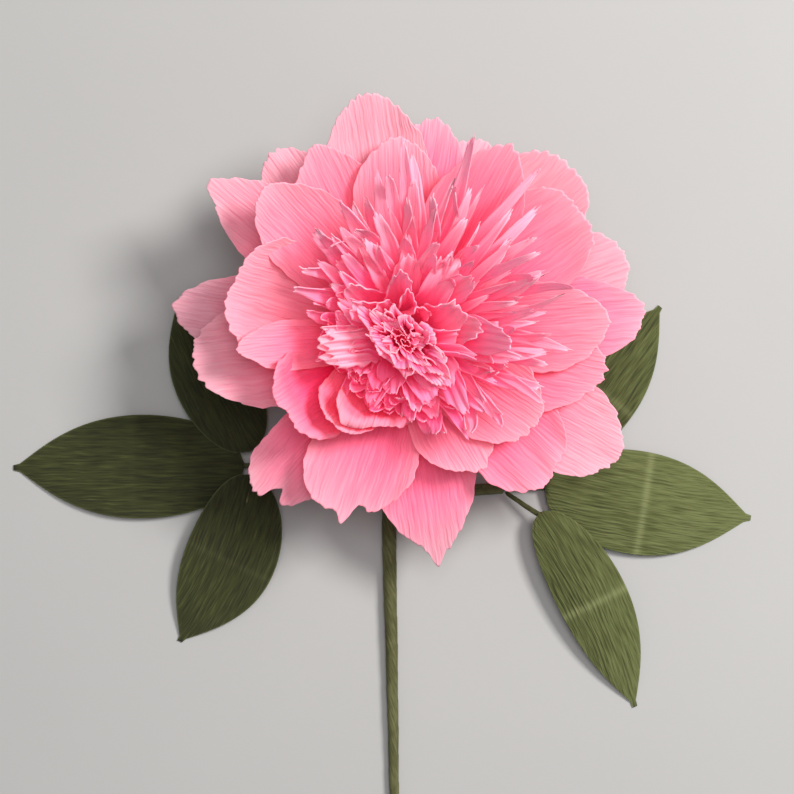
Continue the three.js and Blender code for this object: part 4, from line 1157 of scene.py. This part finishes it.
class Finish:
    """A material under construction. node() adds any node: its type, its settings, then its sockets."""

    def __init__(self, name):
        self.material = bpy.data.materials.new(name)
        self.material.use_nodes = True
        self.tree = self.material.node_tree
        self.tree.nodes.clear()

    def node(self, kind, settings=None, inputs=None, output=0):
        made = self.tree.nodes.new(kind)
        for key, value in (settings or {}).items():
            if key == "stops":
                ramp = made.color_ramp
                while len(ramp.elements) < len(value):
                    ramp.elements.new(1.0)
                for element, (place, colour) in zip(ramp.elements, value):
                    element.position = place
                    element.color = (*colour, 1)
            else:
                setattr(made, key, value)
        for key, value in (inputs or {}).items():
            if isinstance(value, Value):
                self.tree.links.new(value.socket, made.inputs[key])
            else:
                made.inputs[key].default_value = value
        return Value(self, made.outputs[output]) if made.outputs else None

    def attribute(self, name):
        """A value of the piece's own points."""
        return self.node("ShaderNodeAttribute", {"attribute_name": name}, output="Fac")

    def paper(self):
        """The place on the paper, across and along, in millimetres."""
        uv = self.node("ShaderNodeUVMap", {"uv_map": "paper"})
        across = self.node("ShaderNodeSeparateXYZ", {}, {0: uv}, "X")
        along = self.node("ShaderNodeSeparateXYZ", {}, {0: uv}, "Y")
        return across * DECIMETRE, along * DECIMETRE

    def noise(self, x, y, z, detail=2.0):
        """Smooth noise from 0 to 1 at a place."""
        place = self.node("ShaderNodeCombineXYZ", {}, {"X": x, "Y": y, "Z": z})
        return self.node("ShaderNodeTexNoise", {}, {"Vector": place, "Scale": 1.0, "Detail": detail})

    def blend(self, factor, a, b, mode="MIX"):
        """Two colours mixed by a factor."""
        colour = lambda c: c if isinstance(c, Value) else (*c, 1)
        settings = {"data_type": "RGBA", "blend_type": mode}
        return self.node("ShaderNodeMix", settings, {0: factor, 6: colour(a), 7: colour(b)}, 2)

    def paper_surface(self, colour, roughness, height, bump, glow, glow_share, sheen, painted_glow=NO_PAINTED_GLOW):
        """Matt paper: a rough principled surface with its relief, mixed with light that comes through. Its
        emission is a painted glow that brightens the paper, most of all where it lies in shade."""
        normal = self.node("ShaderNodeBump", {}, {"Strength": 1.0, "Distance": bump * MM, "Height": height})
        front = self.node("ShaderNodeBsdfPrincipled", {}, {
            "Base Color": colour, "Roughness": roughness, "Normal": normal,
            "Specular IOR Level": 0.12, "Sheen Weight": sheen, "Sheen Roughness": 0.6,
            "Emission Color": (*painted_glow, 1), "Emission Strength": 1.0,
        })
        through = self.node("ShaderNodeBsdfTranslucent", {}, {"Color": (*glow, 1), "Normal": normal})
        mixed = self.node("ShaderNodeMixShader", {}, {0: glow_share, 1: front, 2: through})
        return self.finished(mixed)

    def finished(self, shader):
        """The material, with a shader as its surface."""
        self.node("ShaderNodeOutputMaterial", {}, {"Surface": shader})
        return self.material

    def ramp(self, stops, value):
        """The colour that a value has between stops."""
        return self.node("ShaderNodeValToRGB", {"stops": stops}, {0: value})

    def crepe_marks(self, marks, seed):
        """Marks of crepe: ridges and finer threads along the paper that wander sideways, and wide clouds."""
        across, along = self.paper()

        def mark(kind, aside=0.0, detail=1.0):
            often_across, often_along, apart = marks[kind]
            return self.noise(across * often_across + aside, along * often_along, seed + apart, detail)

        wander = mark("wander") * marks["swing"]
        return mark("ridges", wander), mark("threads", wander), mark("cloud", detail=2.0)


def pink_paper(name, stops, rim_colour, rim_share, glow, glow_share, painted_glow):
    """Dyed crepe: colour from the gathered base to the tip, paler and darker streaks along the ridges,
    a bleached cut edge, and each piece a little lighter or darker than the next by its tone, which is
    random on most pieces and carries painted shade and painted light on some. Its emission is a painted glow."""
    finish = Finish(name)
    reach = finish.attribute("reach")
    rim = finish.attribute("rim")
    tone = finish.attribute("tone")
    ridges, threads, cloud = finish.crepe_marks(PETAL_MARKS, tone * 37)
    shift = (cloud - 0.5) * 0.25 + (tone - 0.5) * 0.16 + (ridges - 0.5) * 0.1
    colour = finish.ramp(stops, (reach + shift).clamped())
    streak = finish.ramp(STREAKS, ridges * 0.7 + threads * 0.3)
    colour = finish.blend(1.0, colour, streak, "MULTIPLY")
    colour = finish.blend((rim * rim_share).clamped(), colour, rim_colour)
    height = ridges + threads * 0.35
    roughness = 0.78 + (threads - 0.5) * 0.2
    return finish.paper_surface(colour, roughness, height, 0.3, glow, glow_share, 0.0, painted_glow)


def green_paper(name):
    """Dyed leaf crepe: dark valleys and lighter ridges along it, a pale band across it where the roll was
    creased, and a lighter cut edge. Painted shade darkens each leaf towards its base, under the head, and
    each leaf's tone paints the left branch shaded and the right branch lit."""
    finish = Finish(name)
    reach = finish.attribute("reach")
    rim = finish.attribute("rim")
    tone = finish.attribute("tone")
    ridges, threads, cloud = finish.crepe_marks(LEAF_MARKS, tone * 41)
    # the reach term paints shade towards each leaf's base, which lies under the head
    # the tone term paints the left branch's leaves shaded and the right branch's lit
    grain = ridges * 0.6 + threads * 0.4 + (cloud - 0.5) * 0.25 + (tone - 0.6) * 0.35 + (reach - 0.5) * 0.2
    colour = finish.ramp(LEAF_GREENS, grain.clamped())
    off = (reach - CREASE_AT) * CREASE_SHARPNESS
    band = finish.node("ShaderNodeMath", {"operation": "EXPONENT"}, {0: off * off * -1.0})
    colour = finish.blend(band * (tone * 0.3), colour, LEAF_CREASE)
    colour = finish.blend((rim * 0.35).clamped(), colour, LEAF_RIM)
    return finish.paper_surface(colour, 0.72, ridges + threads * 0.3, 0.7, LEAF_GLOW, 0.12, 0.1)


def stem_tape(name):
    """Stretched crepe tape: streaks along the winding, and a darker line at each lap."""
    finish = Finish(name)
    across, along = finish.paper()
    reach = finish.attribute("reach")
    rim = finish.attribute("rim")
    streaks = finish.noise(across * 0.9 + along * 0.5, along * 0.12 - across * 0.1, 3.0)
    cloud = finish.noise(across * 0.05, along * 0.06, 8.0)
    colour = finish.ramp(TAPE_GREENS, (streaks * 0.7 + cloud * 0.35 + (reach - 0.4) * 0.2).clamped())
    colour = finish.blend((rim * 0.4).clamped(), colour, TAPE_LAP)
    return finish.paper_surface(colour, 0.7, streaks, 0.35, TAPE_GLOW, 0.04, 0.05)


def wire_steel(name):
    """Bare wire with fine drawn lines."""
    finish = Finish(name)
    place = finish.node("ShaderNodeTexCoord", {}, {}, "Object")
    stretched = finish.node("ShaderNodeMapping", {}, {"Vector": place, "Scale": (4000, 60, 4000)})
    lines = finish.node("ShaderNodeTexNoise", {}, {"Vector": stretched, "Scale": 1.0})
    return finish.finished(finish.node("ShaderNodeBsdfPrincipled", {}, {
        "Base Color": finish.ramp(WIRE_GREYS, lines), "Roughness": 0.3 + lines * 0.2, "Metallic": 0.9,
    }))


def pale_floor(name):
    """A plain pale surface with a hardly visible grain."""
    finish = Finish(name)
    place = finish.node("ShaderNodeTexCoord", {}, {}, "Object")
    grain = finish.node("ShaderNodeTexNoise", {}, {"Vector": place, "Scale": 9.0, "Detail": 4.0})
    colour = finish.blend(grain, FLOOR_DARK, FLOOR_LIGHT)
    shader = finish.node("ShaderNodeBsdfPrincipled", {}, {"Base Color": colour, "Roughness": 0.85})
    return finish.finished(shader)


back_paper = pink_paper("back_petal_paper", [(0.1, ROSE), (0.45, PINK), (0.85, PALE)],
                        SHELL, 0.3, GLOW, 0.2, NO_PAINTED_GLOW)
# The front, fringe and centre papers carry a painted glow of emission
front_paper = pink_paper("front_petal_paper", [(0.1, HOT), (0.3, ROSE), (0.55, PINK), (1.0, BLUSH)],
                         SHELL, 0.35, GLOW, 0.3, FRONT_PAINTED_GLOW)
fringe_paper = pink_paper("fringe_paper", [(0.22, CERISE), (0.42, CANDY), (0.6, SORBET), (0.85, POWDER)],
                          WHITE, 0.8, BRIGHT_GLOW, 0.45, FRINGE_PAINTED_GLOW)
centre_paper = pink_paper("centre_paper", [(0.6, CERISE), (0.9, CANDY), (1.0, SORBET)],
                          SHELL, 0.8, GLOW, 0.35, CENTRE_PAINTED_GLOW)
leaf_paper = green_paper("leaf_paper")
tape = stem_tape("stem_tape")


# Pieces

for order, petal in enumerate(PETALS):
    slot_name = petal[0].split("_")[0] + "_petal_paper"
    paper = back_paper if slot_name.startswith("back") else front_paper
    sheet_piece(petal[0], wide_petal(order, *petal), from_head, paper)
for index in range(FRINGE_COUNT):
    sheet_piece(f"fringe_strip_{index + 1}", fringe_strip(index), from_head, fringe_paper)
for index in range(FRILL_COUNT):
    sheet_piece(f"centre_frill_{index + 1}", frill(index), from_head, centre_paper)
sheet_piece("core_roll", core_roll(), from_head, centre_paper)
sheet_piece("calyx", calyx_strip(), from_head, leaf_paper)
receptacle(tape)
stem_wrap(tape)
stem_run = stem_line()[2]
for place, branch in enumerate(BRANCHES):
    leaf_branch(branch, stem_run, leaf_paper, tape, 3 * place)
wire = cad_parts["stem_wire"]
wire.data.materials.clear()
wire.data.materials.append(wire_steel("floral_wire"))


# Stage

def flat_floor(size):
    """A square on the surface that the flower lies on."""
    half = size / 2
    mesh = bpy.data.meshes.new("floor")
    corners = [(-half, -half, 0), (half, -half, 0), (half, half, 0), (-half, half, 0)]
    mesh.from_pydata(corners, [], [(0, 1, 2, 3)])
    mesh.materials.append(pale_floor("pale_floor"))
    floor = bpy.data.objects.new("floor", mesh)
    bpy.context.scene.collection.objects.link(floor)


def soft_light(name, offset, size, power, colour):
    """A square soft light at a place measured from the head, turned to face it."""
    light = bpy.data.lights.new(name, "AREA")
    light.size = size
    light.energy = power
    light.color = colour
    lamp = bpy.data.objects.new(name, light)
    away = Vector(offset)
    lamp.location = Vector(HEAD * MM) + away
    lamp.rotation_euler = away.to_track_quat("Z", "Y").to_euler()
    bpy.context.scene.collection.objects.link(lamp)


flat_floor(FLOOR_SIZE)
for light in LIGHTS:
    soft_light(*light)
scene = bpy.context.scene
world = bpy.data.worlds.new("studio")
world.use_nodes = True
room = world.node_tree.nodes["Background"]
room.inputs["Color"].default_value = (1, 1, 1, 1)
room.inputs["Strength"].default_value = ROOM_LIGHT
scene.world = world
scene.view_settings.view_transform = "Standard"
scene.cycles.max_bounces = MOST_BOUNCES
scene.cycles.diffuse_bounces = SOFT_BOUNCES
scene.cycles.transmission_bounces = SOFT_BOUNCES

# The camera looks straight down, as the photograph looks straight at the flower
camera_data = bpy.data.cameras.new("camera")
camera_data.sensor_width = SENSOR
camera_data.lens = SENSOR * VIEW_DISTANCE / VIEW_WIDTH
camera = bpy.data.objects.new("camera", camera_data)
camera.location = np.array([*(HEAD[:2] + CAMERA_ASIDE), CAMERA_HEIGHT]) * MM
scene.collection.objects.link(camera)
scene.camera = camera

bpy.context.view_layer.update()
